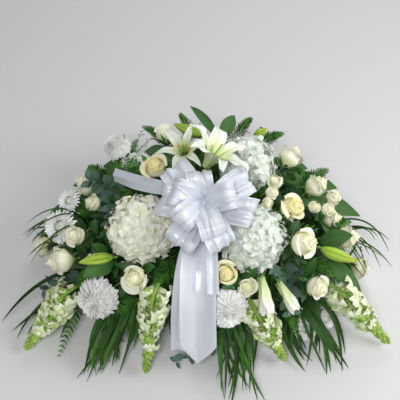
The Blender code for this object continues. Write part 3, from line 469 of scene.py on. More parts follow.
stem_skin = grown(
    "stem_skin", ((0.0, (0.09, 0.20, 0.04)), (1.0, (0.14, 0.30, 0.06))), (0.07, 0.17, 0.04), 0.5,
    veins=6)
lily_leaf = grown(
    "lily_leaf", ((0.0, (0.05, 0.15, 0.03)), (0.5, (0.07, 0.19, 0.04)), (1.0, (0.09, 0.23, 0.05))),
    (0.035, 0.09, 0.025), 0.5, veins=13, vein_depth=0.0006, midrib=(0.09, 0.20, 0.06), gloss=0.35)
# Painted shade and light: near black low on each frond, deep in the spray, and lighter green towards the
# tips that stand in the light
fern_leaf = grown(
    "fern_leaf", ((0.0, (0.015, 0.05, 0.01)), (0.5, (0.03, 0.11, 0.012)), (1.0, (0.075, 0.23, 0.02))),
    (0.016, 0.06, 0.010), 0.6, veins=6, tone_range=1.3, gloss=0.15)
# Painted shade: near black, darkest at each leaf's base, for the leaves set deep among the blooms where
# shade falls
under_leaf = grown(
    "under_leaf", ((0.0, (0.005, 0.016, 0.006)), (0.5, (0.014, 0.042, 0.012)), (1.0, (0.035, 0.09, 0.025))),
    (0.010, 0.030, 0.010), 0.5, veins=6, midrib=(0.03, 0.08, 0.025), tone_range=1.3, gloss=0.25)
ruscus_leaf = grown(
    "ruscus_leaf", ((0.0, (0.015, 0.05, 0.012)), (0.5, (0.03, 0.10, 0.022)), (1.0, (0.05, 0.15, 0.03))),
    (0.02, 0.07, 0.018), 0.45, veins=8, midrib=(0.06, 0.15, 0.04), tone_range=1.2, gloss=0.35)
twig_bark = grown(
    "twig_bark", ((0.0, (0.03, 0.04, 0.02)), (1.0, (0.06, 0.09, 0.03))), (0.05, 0.04, 0.03), 0.7)
eucalyptus_leaf = grown(
    "eucalyptus_leaf", ((0.0, (0.05, 0.11, 0.07)), (0.5, (0.07, 0.14, 0.10)), (1.0, (0.09, 0.18, 0.13))),
    (0.05, 0.10, 0.07), 0.6, veins=7, midrib=(0.11, 0.19, 0.13), tone_range=0.8, gloss=0.3)
grass_leaf = grown(
    "grass_leaf", ((0.0, (0.012, 0.04, 0.006)), (0.5, (0.025, 0.09, 0.010)), (1.0, (0.06, 0.17, 0.02))),
    (0.020, 0.06, 0.006), 0.45, veins=5, vein_depth=0.0005, tone_range=1.2, gloss=0.28)
anther_skin = grown(
    "anther_skin", ((0.0, (0.55, 0.20, 0.02)), (1.0, (0.80, 0.38, 0.05))), (0.62, 0.24, 0.03), 0.9)


WEFT_LINES = 2400.0
WARP_LINES = 420.0
# How far across the ribbon its raised edge, painted lighter as a painted highlight, begins
SELVEDGE_AND_HIGHLIGHT = 0.955
SATIN_SHINE = {
    "Roughness": 0.26, "Sheen Weight": 0.25, "Sheen Roughness": 0.4, "Coat Weight": 0.8,
    "Coat Roughness": 0.16, "Specular IOR Level": 0.8, "Anisotropic": 0.4,
}


def satin_material():
    """White satin: a fine weave, faint dents, raised edges painted lighter as a painted highlight, and a
    soft bright sheen.
    """
    material, tree, shader = new_material("white_satin")
    along, across = attribute(tree, "along"), attribute(tree, "across")
    cloudy = times(tree, noise(tree, 40), 0.5)
    colour = mixed(tree, cloudy, (0.76, 0.80, 0.87), (0.68, 0.73, 0.82))
    # The ribbon's edges: a raised selvedge in the bump, and a lighter colour there as a painted highlight
    # where light catches them
    selvedge_and_highlight = maths(tree, "GREATER_THAN", maths(tree, "ABSOLUTE", across), SELVEDGE_AND_HIGHLIGHT)
    colour = mixed(tree, selvedge_and_highlight, colour, (0.93, 0.93, 0.97))
    tree.links.new(colour, shader.inputs["Base Color"])
    for key, value in SATIN_SHINE.items():
        shader.inputs[key].default_value = value
    weft = maths(tree, "SINE", times(tree, along, WEFT_LINES))
    warp = maths(tree, "SINE", times(tree, across, WARP_LINES))
    weave = times(tree, plus(tree, weft, warp), 0.06)
    creases = times(tree, noise(tree, 55, 2.0), 1.2)
    height = plus(tree, weave, creases)
    height = plus(tree, height, times(tree, selvedge_and_highlight, 0.5))
    bumped(tree, shader, height, 0.0009, 0.5)
    return material


def plain_material(name, dark, light, roughness, scale, depth):
    """A mottled material for the tray, foam, pick and floor."""
    material, tree, shader = new_material(name)
    tree.links.new(mixed(tree, noise(tree, scale), dark, light), shader.inputs["Base Color"])
    shader.inputs["Roughness"].default_value = roughness
    bumped(tree, shader, noise(tree, scale * 3), depth, 0.6)
    return material


white_satin = satin_material()
green_plastic = plain_material("green_plastic", (0.02, 0.07, 0.03), (0.03, 0.11, 0.05), 0.4, 300, 0.0001)
wet_foam = plain_material("wet_foam", (0.03, 0.10, 0.05), (0.06, 0.17, 0.09), 0.95, 700, 0.0006)
stake_wood = plain_material("stake_wood", (0.12, 0.20, 0.08), (0.20, 0.30, 0.14), 0.8, 200, 0.0003)
for name, material in (
    ("holder_tray", green_plastic), ("floral_foam", wet_foam), ("bow_pick", stake_wood)
):
    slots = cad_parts[name].data.materials
    slots.clear()
    slots.append(material)


# Roses, as (pixel, depth, size, share turned to the viewer), and spray roses, as (root pixel,
# blooms as (pixel, depth, size)). A depth is a share of the mound's own size
ROSE_RADIUS = 0.029
ROSE_MIDDLE = 0.75
ROSE_TURN = 0.9
ROSE_PETALS = 20
SPRAY_GROWTH = 1.5
SPRAY_TURN = 0.75
SPRAY_PETALS = 14
SPRAY_CLOSED = 0.30
LEAF_SHARES = (0.96, 0.93, 0.89, 0.84, 0.78, 0.72, 0.66)
ROSE_LEAF = 0.054
ROSE_LEAF_WIDTH = 0.024
CREAM_ROSES = ("rose_02", "rose_12", "rose_16")
ROSES = {
    "rose_01": ((163, 134), 1.00, 0.92, 0.00),
    "rose_02": ((155, 168), 1.08, 0.92, 0.35),
    "rose_03": ((289, 157), 1.02, 1.00, 0.00),
    "rose_04": ((87, 187), 0.98, 0.90, 0.15),
    "rose_05": ((94, 205), 0.93, 0.68, 0.25),
    "rose_06": ((77, 237), 1.02, 0.80, 0.35),
    "rose_07": ((93, 236), 0.79, 0.66, 0.35),
    "rose_08": ((45, 247), 1.00, 0.86, 0.00),
    "rose_09": ((64, 262), 1.06, 1.05, 0.10),
    "rose_10": ((97, 263), 0.88, 0.82, 0.25),
    "rose_11": ((137, 278), 1.02, 0.92, 0.50),
    "rose_12": ((226, 273), 0.98, 0.88, 0.60),
    "rose_13": ((247, 286), 1.00, 0.70, 0.45),
    "rose_14": ((316, 285), 1.02, 0.88, 0.20),
    "rose_15": ((302, 242), 1.06, 1.05, 0.05),
    "rose_16": ((291, 208), 1.04, 0.98, 0.15),
    "rose_17": ((315, 186), 1.00, 0.96, 0.10),
    "rose_18": ((345, 236), 0.99, 0.98, 0.05),
    "rose_19": ((358, 265), 0.98, 0.84, 0.05),
    "rose_20": ((331, 218), 0.94, 0.74, 0.20),
}
SPRAY_ROSES = {
    "spray_rose_left": ((271, 196), (
        ((276, 181), 1.02, 0.42),
        ((271, 192), 1.07, 0.38),
        ((268, 202), 1.04, 0.34),
    )),
    "spray_rose_right": ((322, 208), (
        ((314, 206), 1.05, 0.36),
        ((327, 208), 1.09, 0.38),
        ((333, 197), 1.06, 0.44),
    )),
}


def rose(surface, start, base, axis, size, draw, petals, closed=0.0):
    """A rose: petals that wrap its high heart in a spiral and roll back further out, on a stem."""
    spot = spot_at(base, axis, draw.uniform(0, 6))
    wide = size * np.array((0.15, 0.42, 0.58, 0.52, 0.40, 0.24, 0.08))
    spindle(surface, base, axis * size, (0.15, 0.5, 0.9, 1.2, 1.45, 1.66, 1.80),
            wide * (1 - 0.12 * closed), 14, 0.5, 0, along=0.42)
    u, v = grid(14, 13)
    for index in range(petals):
        out = index / (petals - 1)
        reach = size * (0.10 + 0.74 * out**0.75)
        tall = size * (2.0 - 0.34 * out - 0.26 * out**2) * draw.uniform(0.97, 1.03)
        half = 1.7 - 0.72 * out**0.6
        curl = size * 0.40 * out**1.5 * draw.uniform(0.5, 1.3) * (1 - closed)
        t = v * (1 - 0.17 * u**2 - 0.10 * u**6)
        swell = 0.24 + 0.76 * np.sin(np.minimum(1, t / 0.5) * math.pi / 2)
        close = 1 - (0.84 * (1 - out) ** 0.85 + 0.08 + 0.30 * closed * out) * ease((t - 0.40) / 0.60)
        roll = ease((v - 0.72) / 0.28) ** 1.4 * (1 - 0.35 * u**2)
        radius = reach * swell * close + curl * roll + size * 0.03 * u
        height = tall * t - curl * 0.7 * roll**1.5
        angle = index * GOLDEN_TURN + half * u * (0.6 + 0.4 * np.minimum(1, t / 0.35))
        local = turned(radius, angle, height)
        # Inner petals read only the lower, yellower colours: the heart's own tint and the painted glow
        surface.patch(put(local, spot), draw.random(), 0, along=v * (0.42 + 0.58 * out**0.8))
    tube(surface, [start, base - axis * size * 0.18], STEM_RADIUS)
    spindle(surface, base, axis * size, (-0.24, -0.16, -0.02, 0.12, 0.2),
            [STEM_RADIUS, size * 0.14, size * 0.21, size * 0.24, size * 0.14])
    for index in range(5):
        turn = index * 2 * math.pi / 5
        out = around(spot[1], spot[2], turn)
        droop = draw.uniform(-0.3, 0.25)
        path = curve_through([
            base + out * size * 0.2,
            base + out * size * 0.55 + axis * size * 0.12,
            base + out * size * 0.95 + axis * size * (0.12 + droop),
        ], 7)
        widths = size * np.array((0.22, 0.30, 0.28, 0.22, 0.14, 0.07, 0.02))
        blade(surface, path, widths, -axis, 0.3, 3, draw.random(), 1)
    blooms.append((base + axis * size * ROSE_MIDDLE, size))


def rose_leaves(surface, foot, base, axis, draw):
    """Pointed leaves along the outer part of a rose's stem, the last ones just under the bloom."""
    side, up = frame_of(unit(base - foot))
    for index, share in enumerate(LEAF_SHARES):
        turn = index * GOLDEN_TURN + draw.uniform(-0.3, 0.3)
        lean = unit(around(side, up, turn) + axis * draw.uniform(0.1, 0.6))
        start = foot + (base - foot) * share
        path = arch(start, start + lean * ROSE_LEAF * draw.uniform(0.8, 1.15), 0.005, 9)
        path[:, 2] = np.maximum(path[:, 2], LEAF_LEVEL)
        widths = ROSE_LEAF_WIDTH * np.maximum(0.05, np.sin(math.pi * np.linspace(0, 1, 9) ** 0.8)) ** 0.8
        blade(surface, path, widths, axis + UP, 0.25, 5, draw.random(), 2, 0.06)


def make_roses():
    for name, (pixel, depth, scale, face_viewer) in ROSES.items():
        size = ROSE_RADIUS * scale
        centre, foot, axis = head_frame(pixel, depth, size * 1.15, face_viewer)
        surface = Surface()
        axis = unit(axis - TOWARDS_VIEWER * ROSE_TURN * max(0.0, 0.4 - face_viewer))
        base = centre - axis * (ROSE_MIDDLE * size)
        rose(surface, foot, base, axis, size, random.Random(name), ROSE_PETALS)
        rose_leaves(surface, foot, base, axis, random.Random(name + " leaves"))
        petal = rose_cream_petal if name in CREAM_ROSES else rose_petal
        surface.make(name + "_bloom", [petal, stem_skin, ruscus_leaf], "rose", name)
    for name, (root_pixel, heads) in SPRAY_ROSES.items():
        surface, draw, root = cluster(name, root_pixel, STEM_RADIUS)
        for pixel, depth, scale in heads:
            size = ROSE_RADIUS * scale * SPRAY_GROWTH
            centre = mound_point(pixel, depth)
            axis = unit(centre - root) - TOWARDS_VIEWER * SPRAY_TURN
            axis = unit(axis + RIGHT * draw.uniform(-0.4, 0.4))
            base = centre - axis * (ROSE_MIDDLE * size)
            rose(surface, root, base, axis, size, draw, SPRAY_PETALS, SPRAY_CLOSED)
        surface.make(name + "_blooms", [rose_petal, stem_skin], "rose", name)


# Hydrangeas, as (pixel, depth, radius, cream): florets of four broad petals over a ball of painted shade
HYDRANGEAS = {
    "hydrangea_1": ((142, 230), 0.86, 0.072, True),
    "hydrangea_2": ((251, 238), 0.86, 0.070, False),
    "hydrangea_3": ((247, 164), 0.90, 0.061, False),
    "hydrangea_4": ((137, 169), 0.83, 0.034, False),
}
FLORET = 0.0175
FLORET_SPACING = 0.0165
FLORET_SHAPES = 16
FLORET_SHELL = 0.92
LOWEST_FLORET = -0.72


def floret_points(draw, length):
    """The sheets of one floret, about its own eye: four round ruffled petals that overlap."""
    u, v = grid(7, 7)
    sheets = []
    for index in range(4):
        long = length * draw.uniform(0.88, 1.10)
        wide = long * draw.uniform(0.50, 0.60)
        outline = np.sqrt(np.maximum(0.02, 1 - ((v - 0.53) / 0.50) ** 2))
        across = u * wide * outline
        forward = long * (v - 0.06 * u**2 * v)
        cup = draw.uniform(-0.8, 0.9)
        droop = draw.uniform(-0.70, 0.10)
        wave = 0.13 * np.sin(4.0 * u + draw.uniform(0, 6)) * v**2
        lift = long * (0.22 * np.sqrt(v) + droop * v**2 + cup * 0.4 * (u * outline) ** 2 + wave)
        lift = lift + long * 0.06 * (index % 2)
        turn = index * math.pi / 2 + draw.uniform(-0.22, 0.22)
        x = across * math.cos(turn) - forward * math.sin(turn)
        y = across * math.sin(turn) + forward * math.cos(turn)
        sheets.append(stacked(x, y, lift))
    return np.array(sheets)


def bead(surface, centre, radius, tone, kind):
    """A small round bead of three bands."""
    tube(surface, [centre - UP * radius * 0.6, centre, centre + UP * radius * 0.6],
         [radius * 0.75, radius, radius * 0.75], 5, tone, kind)


def make_hydrangea(name, pixel, depth, radius, cream):
    centre, foot, axis = head_frame(pixel, depth, radius, 0.0)
    draw = random.Random(name)
    surface = Surface()
    shapes = [floret_points(draw, FLORET) for _ in range(FLORET_SHAPES)]
    side, up = frame_of(axis)
    shell = radius * FLORET_SHELL
    count = int(4 * math.pi * shell**2 / FLORET_SPACING**2)
    for index in range(count):
        height = 1 - 2 * (index + 0.5) / count
        if height < LOWEST_FLORET:
            continue
        flat = math.sqrt(1 - height**2)
        turn = index * GOLDEN_TURN
        out = side * (flat * math.cos(turn)) + up * (flat * math.sin(turn)) + axis * height
        out = unit(out + stray_by(draw, 0.06))
        eye = centre + out * (shell * draw.uniform(0.88, 1.04))
        lean = unit(out + stray_by(draw, 0.27))
        spot = spot_at(eye, lean, draw.uniform(0, 6))
        tone = draw.random()
        surface.patches(put(draw.choice(shapes), spot), [tone] * 4, 0)
        if index % 3 == 0:
            bead(surface, eye + lean * 0.0022, 0.0011, tone, 1)
    # The ball under the florets, at the darkest tone: painted shade for the shadowy depths seen between
    # florets
    u, v = grid(13, 20)
    theta, phi = v * math.pi * 0.98 + 0.02, (u + 1) * math.pi * 19 / 20
    lumps = radius * 0.80 * (1 + 0.04 * np.sin(5 * theta + 3 * phi) * np.sin(theta))
    ball = turned(lumps * np.sin(theta), phi, lumps * np.cos(theta))
    surface.patch(put(ball, spot_at(centre, axis)), 1.0, 1, closed=True)
    tube(surface, [foot, centre - axis * radius * 0.6], THICK_STEM_RADIUS, kind=2)
    petal = hydrangea_cream_petal if cream else hydrangea_petal
    surface.make(name + "_florets", [petal, hydrangea_eye_and_shade, stem_skin], "hydrangea", name)
    blooms.append((centre, radius * 0.97))


# Chrysanthemums, as (heads as (pixel, depth, size, share turned to the viewer), root pixel, style)
MUM_RADIUS = 0.036
MUM_BASE = 0.5
MUMS = {
    "mum_1": ((((69, 202), 1.02, 0.64, 0.55), ((61, 228), 1.03, 0.92, 0.55)), (68, 214), "daisy"),
    "mum_2": ((((99, 299), 1.00, 1.08, 0.10),), None, "full"),
    "mum_3": ((((229, 307), 1.00, 1.00, 0.05),), None, "full"),
    "mum_4": ((((116, 147), 1.03, 0.80, 0.40),), (114, 162), "full"),
    "mum_5": ((((306, 326), 1.00, 0.68, 0.6), ((326, 317), 1.02, 0.56, 0.6)), (314, 306), "daisy"),
    "mum_6": ((((190, 137), 0.98, 0.56, 0.3),), None, "full"),
}
MUM_PETALS = {"full": 420, "daisy": 96}
MUM_SPREAD = {"full": (0.0, 1.95), "daisy": (0.95, 1.75)}
MUM_DOME = {"full": 0.56, "daisy": 0.36}
DAISY_BEADS = 40


def mum(surface, start, centre, axis, size, draw, style):
    """A chrysanthemum: straps that stand all over a dome, the inner ones bent in over its heart."""
    petals = MUM_PETALS[style]
    spot = spot_at(centre, axis, draw.uniform(0, 6))
    u, v = grid(8, 5)

    def drawn(low, high):
        return np.array([draw.uniform(low, high) for _ in range(petals)])[:, None, None]

    index = np.arange(petals)[:, None, None]
    first, last = (math.cos(angle) for angle in MUM_SPREAD[style])
    rooted = np.arccos(first + (last - first) * (index + 0.5) / petals)
    share = rooted / MUM_SPREAD[style][1]
    if style == "full":
        heart = np.exp(-rooted / 0.40)
        lean_low = rooted + 0.30 - 1.6 * heart + drawn(-0.15, 0.15)
        lean_high = rooted + 0.95 - 2.6 * heart + drawn(-0.35, 0.35)
        long = size * (0.44 + 0.14 * share) * (1 - 0.55 * heart) * drawn(0.80, 1.15)
    else:
        lean_low = rooted * 0.85 + drawn(-0.12, 0.12)
        lean_high = -0.95 + 3.15 * share**0.75 + drawn(-0.25, 0.25)
        long = size * (0.46 + 0.26 * share) * drawn(0.85, 1.10)
    lean = lean_low + (lean_high - lean_low) * v**1.3
    step = long / (v.shape[0] - 1)
    dome = size * MUM_DOME[style]
    out = dome * np.sin(rooted) + np.cumsum(np.sin(lean), axis=1) * step
    height = dome * np.cos(rooted) + np.cumsum(np.cos(lean), axis=1) * step
    half = size * (0.074 + 0.026 * share) * (0.55 + 0.45 * np.sin(np.minimum(1, v / 0.6) * 1.57))
    half = half * rounded(v, 0.6, 0.405, 0.03)
    dish = half * 0.35 * u**2
    out = out - dish * np.cos(lean)
    height = height + dish * np.sin(lean)
    turn = index * GOLDEN_TURN
    across = u * half + size * drawn(-0.07, 0.07) * v**2
    x = out * np.cos(turn) - across * np.sin(turn)
    y = out * np.sin(turn) + across * np.cos(turn)
    surface.patches(put(stacked(x, y, height), spot), drawn(0, 1).ravel(), 0)
    if style == "daisy":
        for index in range(DAISY_BEADS):
            flat = math.sqrt((index + 0.5) / DAISY_BEADS) * size * 0.24
            turn = index * GOLDEN_TURN
            point = put(np.array((flat * math.cos(turn), flat * math.sin(turn),
                                  size * 0.36 - flat * 0.35)), spot)
            bead(surface, point, size * 0.030, draw.random(), 2)
    base = centre - axis * (MUM_BASE * size)
    tube(surface, [start, base], STEM_RADIUS)
    spindle(surface, base, axis * size, (-0.05, 0.1, 0.3, 0.42),
            [STEM_RADIUS, size * 0.16, size * 0.28, size * 0.16])
    spindle(surface, centre, axis * dome, (-0.95, -0.7, -0.3, 0.2, 0.6, 0.85, 0.95),
            dome * np.array((0.3, 0.66, 0.90, 0.93, 0.76, 0.50, 0.3)), 14, 0.5, 0)
    blooms.append((centre, size * 0.9))


def make_mums():
    for name, (heads, root_pixel, style) in MUMS.items():
        if root_pixel:
            surface, draw, root = cluster(name, root_pixel, STEM_RADIUS)
        else:
            surface, draw, root = Surface(), random.Random(name), None
        for pixel, depth, scale, face_viewer in heads:
            size = MUM_RADIUS * scale
            centre, foot, axis = head_frame(pixel, depth, size * 1.06, face_viewer)
            mum(surface, foot if root is None else root, centre, axis, size, draw, style)
        surface.make(name + "_heads", [mum_petal, stem_skin, snapdragon_bud], "mum", name)


# Lilies, as (pixel, depth, pixel and depth that the flower points at, length, spread), and
# half-open ones, as (pixel, depth, tip pixel, tip depth, spread)
THROAT = 0.006
LILY_WIDTH = 0.33
PISTIL = 0.66
TRUMPET_WIDTH = 0.24
LILIES = {
    "lily_1": ((205, 166), 1.20, (217, 150), 1.36, 0.090, 0.85),
    "lily_2": ((184, 154), 1.08, (182, 144), 1.24, 0.058, 0.90),
}
LILY_TRUMPETS = (
    ((262, 276), 1.10, (268, 316), 1.18, 0.17),
    ((279, 281), 1.02, (297, 312), 1.10, 0.12),
)
TRUMPET_ROOT = (268, 268)


def lily_petals(surface, base, axis, length, spread, draw, width):
    """Six petals that part from a throat, the inner three broader than the outer three."""
    side, up = frame_of(axis, TOWARDS_VIEWER)
    u, v = grid(18, 9)
    for index in range(6):
        inner = index % 2
        turn = index * math.pi / 3
        out = -(side * math.cos(turn) - up * math.sin(turn))
        across = np.cross(axis, out)
        wander = 1 + draw.uniform(-0.16, 0.06) * spread
        reach = THROAT + length * spread * wander * v**1.5
        height = length * (1 - 0.55 * spread) * np.sin(v * (1.2 + 0.9 * spread)) / math.sin(1.2)
        height = height / wander
        half = length * width * (1.22 if inner else 0.86) / 2
        outline = (0.20 + 0.80 * np.sin(np.minimum(1, v / 0.5) * math.pi / 2)) * np.where(
            v > 0.5, np.cos((v - 0.5) / 0.5 * 1.5) ** 0.75, 1)
        wavy = 0.30 * half * np.sin(v * 15 + draw.uniform(0, 6)) * np.abs(u) ** 2 * ease(v * 4 - 0.6)
        fold = half * outline * (0.50 - 0.35 * v) * np.abs(u) ** 1.3 - half * 0.10 * (np.abs(u) < 0.15)
        lift = fold + wavy - 0.002 * inner
        outwards = reach - lift * (1 - v) * 0.8
        points = moved(base, (out, outwards), (axis, height + lift * v), (across, u * half * outline))
        surface.patch(points, draw.random(), 0)


def make_lily(name, pixel, depth, aim_pixel, aim_depth, length, spread):
    draw = random.Random(name)
    throat = mound_point(pixel, depth)
    foot = stem_foot(throat)
    axis = unit(mound_point(aim_pixel, aim_depth) - throat)
    surface = Surface()
    lily_petals(surface, throat, axis, length, spread, draw, LILY_WIDTH)
    side, up = frame_of(axis, TOWARDS_VIEWER)
    for index in range(6):
        turn = (index + 0.5) * math.pi / 3
        out = around(side, up, turn)
        reach = length * draw.uniform(0.16, 0.24)
        tip = throat + axis * length * draw.uniform(0.50, 0.62) + out * reach
        path = curve_through([throat, throat + axis * length * 0.3 + out * reach * 0.35, tip], 8)
        tube(surface, path, [0.0008] * 7 + [0.0004], 6, 0.5, 2)
        if name == "lily_2" and index % 3 == 0:
            cross = unit(np.cross(axis, out))
            ends = [tip + cross * length * s + out * 0.0008 for s in (-0.055, -0.03, 0, 0.03, 0.055)]
            tube(surface, ends, [0.0006, 0.0016, 0.0018, 0.0016, 0.0006], 6, draw.random(), 3)
    tip = throat + axis * length * PISTIL
    tube(surface, [throat, throat + axis * length * 0.4, tip, tip + axis * 0.002],
         [0.0013, 0.0012, 0.0012, 0.0026], 8, 0.5, 2)
    line = unit(throat - foot)
    tube(surface, [foot, throat - line * 0.004, throat], [STEM_RADIUS, STEM_RADIUS, 0.0016])
    surface.make(name + "_flower", [lily_petal, stem_skin, bud_skin, anther_skin], "lily", name)
    blooms.append((throat + axis * length * 0.3, length * 0.4))


def make_trumpets():
    surface, draw, root = cluster("trumpets", TRUMPET_ROOT, STEM_RADIUS)
    for *ends, spread in LILY_TRUMPETS:
        throat, tip = both_ends(*ends)
        reach = tip - throat
        length = np.linalg.norm(reach)
        lily_petals(surface, throat, unit(reach), length * 0.98, spread, draw, TRUMPET_WIDTH)
        tube(surface, [root, throat], STEM_RADIUS)
    surface.make("lily_trumpets_flowers", [lily_petal, stem_skin], "lily", "lily_trumpets")


# Buds and leaves, as (pixel, depth, tip pixel, tip depth, width), and the directions of hanging
# leaves, in degrees from straight back. HANGING_ENDS has the two ends of a hanging leaf, as
# (share of the mound's half width and depth, height)
HANGING_ENDS = ((0.62, 0.094), (1.02, 0.046))
HANGING_WIDTH = 0.054
LEAF_RISE = 0.10
LILY_STEMS = {
    "lily_bud_left": {
        "root": (106, 254),
        "bud": ((114, 258), 1.02, (79, 264), 1.20, 0.027),
        "leaves": (
            ((118, 265), 1.00, (84, 279), 1.16, 0.043),
            ((110, 254), 1.02, (92, 245), 1.10, 0.018),
        ),
    },
    "lily_bud_right": {
        "root": (318, 252),
        "bud": ((321, 247), 1.04, (357, 260), 1.14, 0.029),
        "leaves": (
            ((320, 240), 1.00, (353, 234), 1.16, 0.038),
            ((328, 262), 1.03, (361, 290), 1.18, 0.034),
        ),
    },
    "lily_bud_top_left": {
        "root": (199, 146),
        "bud": ((200, 136), 1.06, (172, 123), 1.10, 0.029),
        "hanging": (-76, -58, -42, -24, -8),
    },
    "lily_bud_top_right": {
        "root": (258, 128),
        "bud": ((254, 135), 1.02, (267, 127), 1.12, 0.024),
    },
    "lily_leaves_top": {
        "root": (217, 150),
        "leaves": (
            ((218, 134), 1.06, (189, 105), 1.24, 0.022),
            ((222, 138), 1.06, (234, 114), 1.16, 0.034),
        ),
        "hanging": (10, 26, 42, 58, 76),
    },
}


def lily_bud(surface, base, tip, width, draw):
    """A long bud with six ridges, drawn in towards both ends."""
    line = tip - base
    spot = spot_at(base, unit(line))
    u, v = grid(20, 24)
    turn = (u + 1) * math.pi * 23 / 24
    swell = np.sin(np.clip(v * 0.97 + 0.03, 0, 1) ** 0.8 * math.pi) ** 0.80
    ridges = 1 + 0.12 * np.cos(3 * turn) - 0.07 * np.abs(np.sin(3 * turn))
    radius = width * 0.44 * swell * ridges
    local = turned(radius, turn, v * np.linalg.norm(line))
    surface.patch(put(local, spot), draw.random(), 2, closed=True, across=np.cos(3 * turn))


def broad_leaf(surface, start, base, tip, width, draw):
    """A broad pointed leaf on a short stalk, begun a little inside its base."""
    base = base + (start - base) * 0.22
    curve = arch(base, tip, LEAF_RISE * np.linalg.norm(tip - base), 18)
    path = np.vstack((start + (base - start) * 0.5, curve))
    wide = width * 0.96 * np.sin(math.pi * np.linspace(0, 1, 18) ** 0.85) ** 0.9
    widths = np.concatenate(((0.003,), np.maximum(0.0012, wide)))
    blade(surface, path, widths, TOWARDS_VIEWER, 0.22, 9, draw.random(), 0, 0.06)


def make_lily_stems():
    for name, parts in LILY_STEMS.items():
        surface, draw, root = cluster(name, parts["root"], STEM_RADIUS)
        if "bud" in parts:
            *ends, width = parts["bud"]
            base, tip = both_ends(*ends)
            lily_bud(surface, base, tip, width, draw)
            stem = [root, base - (tip - base) * 0.1, base + (tip - base) * 0.05]
            tube(surface, curve_through(stem, 8), STEM_RADIUS)
        for *ends, width in parts.get("leaves", ()):
            base, tip = both_ends(*ends, tip_floor=FLOOR_GAP * 2)
            broad_leaf(surface, root, base, tip, width, draw)
        for degrees in parts.get("hanging", ()):
            turn = math.radians(degrees)
            away = MOUND * (math.sin(turn), math.cos(turn), 0)
            base, tip = (away * share + UP * height for share, height in HANGING_ENDS)
            broad_leaf(surface, root, base, tip, HANGING_WIDTH, draw)
        surface.make(name + "_sprig", [lily_leaf, stem_skin, bud_skin], "lily_leaf", name)


# Snapdragons, as (pixel, depth, tip pixel, tip depth)
SNAPDRAGONS = {
    "snapdragon_1": ((71, 292), 1.04, (28, 350), 1.2),
    "snapdragon_2": ((157, 289), 1.06, (148, 371), 1.1),
    "snapdragon_3": ((254, 306), 1.02, (285, 357), 1.1),
    "snapdragon_4": ((336, 286), 1.04, (388, 340), 1.2),
}
SPIKE_RADIUS = 0.028
SPIKE_TIP_LEVEL = 0.016
SPIKE_FLORETS = 20
SPIKE_BUDS = 56
SPIKE_LEAVES = 16
FLORET_LENGTH = 0.046
BUD_LENGTH = 0.020
FRONT_SHARE = 0.22


def snap_floret(surface, stem_point, out, ahead, size, opened, draw):
    """One floret: a short tube with two ruffled lobes up and three down, in a green cup."""
    axis = unit(out + ahead * (0.5 + 0.7 * (1 - opened)))
    mouth = stem_point + axis * size * 0.60
    waist = size * (0.11 + 0.07 * opened)
    spindle(surface, stem_point, axis * size, (0.1, 0.3, 0.5, 0.66),
            [size * 0.12, waist * 0.8, waist, waist * 0.9], 8, draw.random(), 0)
    side, up = frame_of(axis, ahead)
    u, v = grid(6, 6)
    for lobe, wide in ((0.5, 0.72), (-0.5, 0.72), (2.2, 0.6), (3.14, 0.66), (-2.2, 0.6)):
        turn = lobe + draw.uniform(-0.12, 0.12)
        lean = around(up, side, turn)
        cross = np.cross(axis, lean)
        long = size * draw.uniform(0.52, 0.66) * (0.55 + 0.45 * opened)
        half = long * wide * (0.5 + 0.5 * np.sin(v * 1.57)) * rounded(v, 0.65, 0.39, 0.2)
        frill = long * 0.16 * np.sin(u * 3.5 + draw.uniform(0, 6)) * v**2
        curl = long * (0.65 * v - 0.95 * v**2) * (1 if abs(lobe) < 1 else 0.8)
        reach = waist * 0.6 + long * v * (1 - 0.2 * u**2)
        root = mouth - axis * size * 0.08
        points = moved(root, (lean, reach), (cross, u * half), (axis, curl + frill))
        surface.patch(points, draw.random(), 0)
    for lobe in range(3):
        turn = lobe * 2.1 + draw.uniform(0, 1)
        lean = unit(around(up, side, turn))
        path = [stem_point + axis * size * 0.08, stem_point + (axis * 0.25 + lean * 0.16) * size,
                stem_point + (axis * 0.46 + lean * 0.22) * size]
        blade(surface, path, np.array((0.14, 0.20, 0.03)) * size, lean, 0.2, 3, 0.5, 2)


def snap_bud(surface, stem_point, out, ahead, size, draw):
    """A closed bud: a plump drop that leans along the spike."""
    axis = unit(out + ahead * draw.uniform(0.7, 1.1))
    spindle(surface, stem_point, axis * size, (0.05, 0.22, 0.45, 0.70, 0.92, 1.0),
            size * np.array((0.12, 0.26, 0.34, 0.30, 0.16, 0.04)), 8, draw.random(), 2)


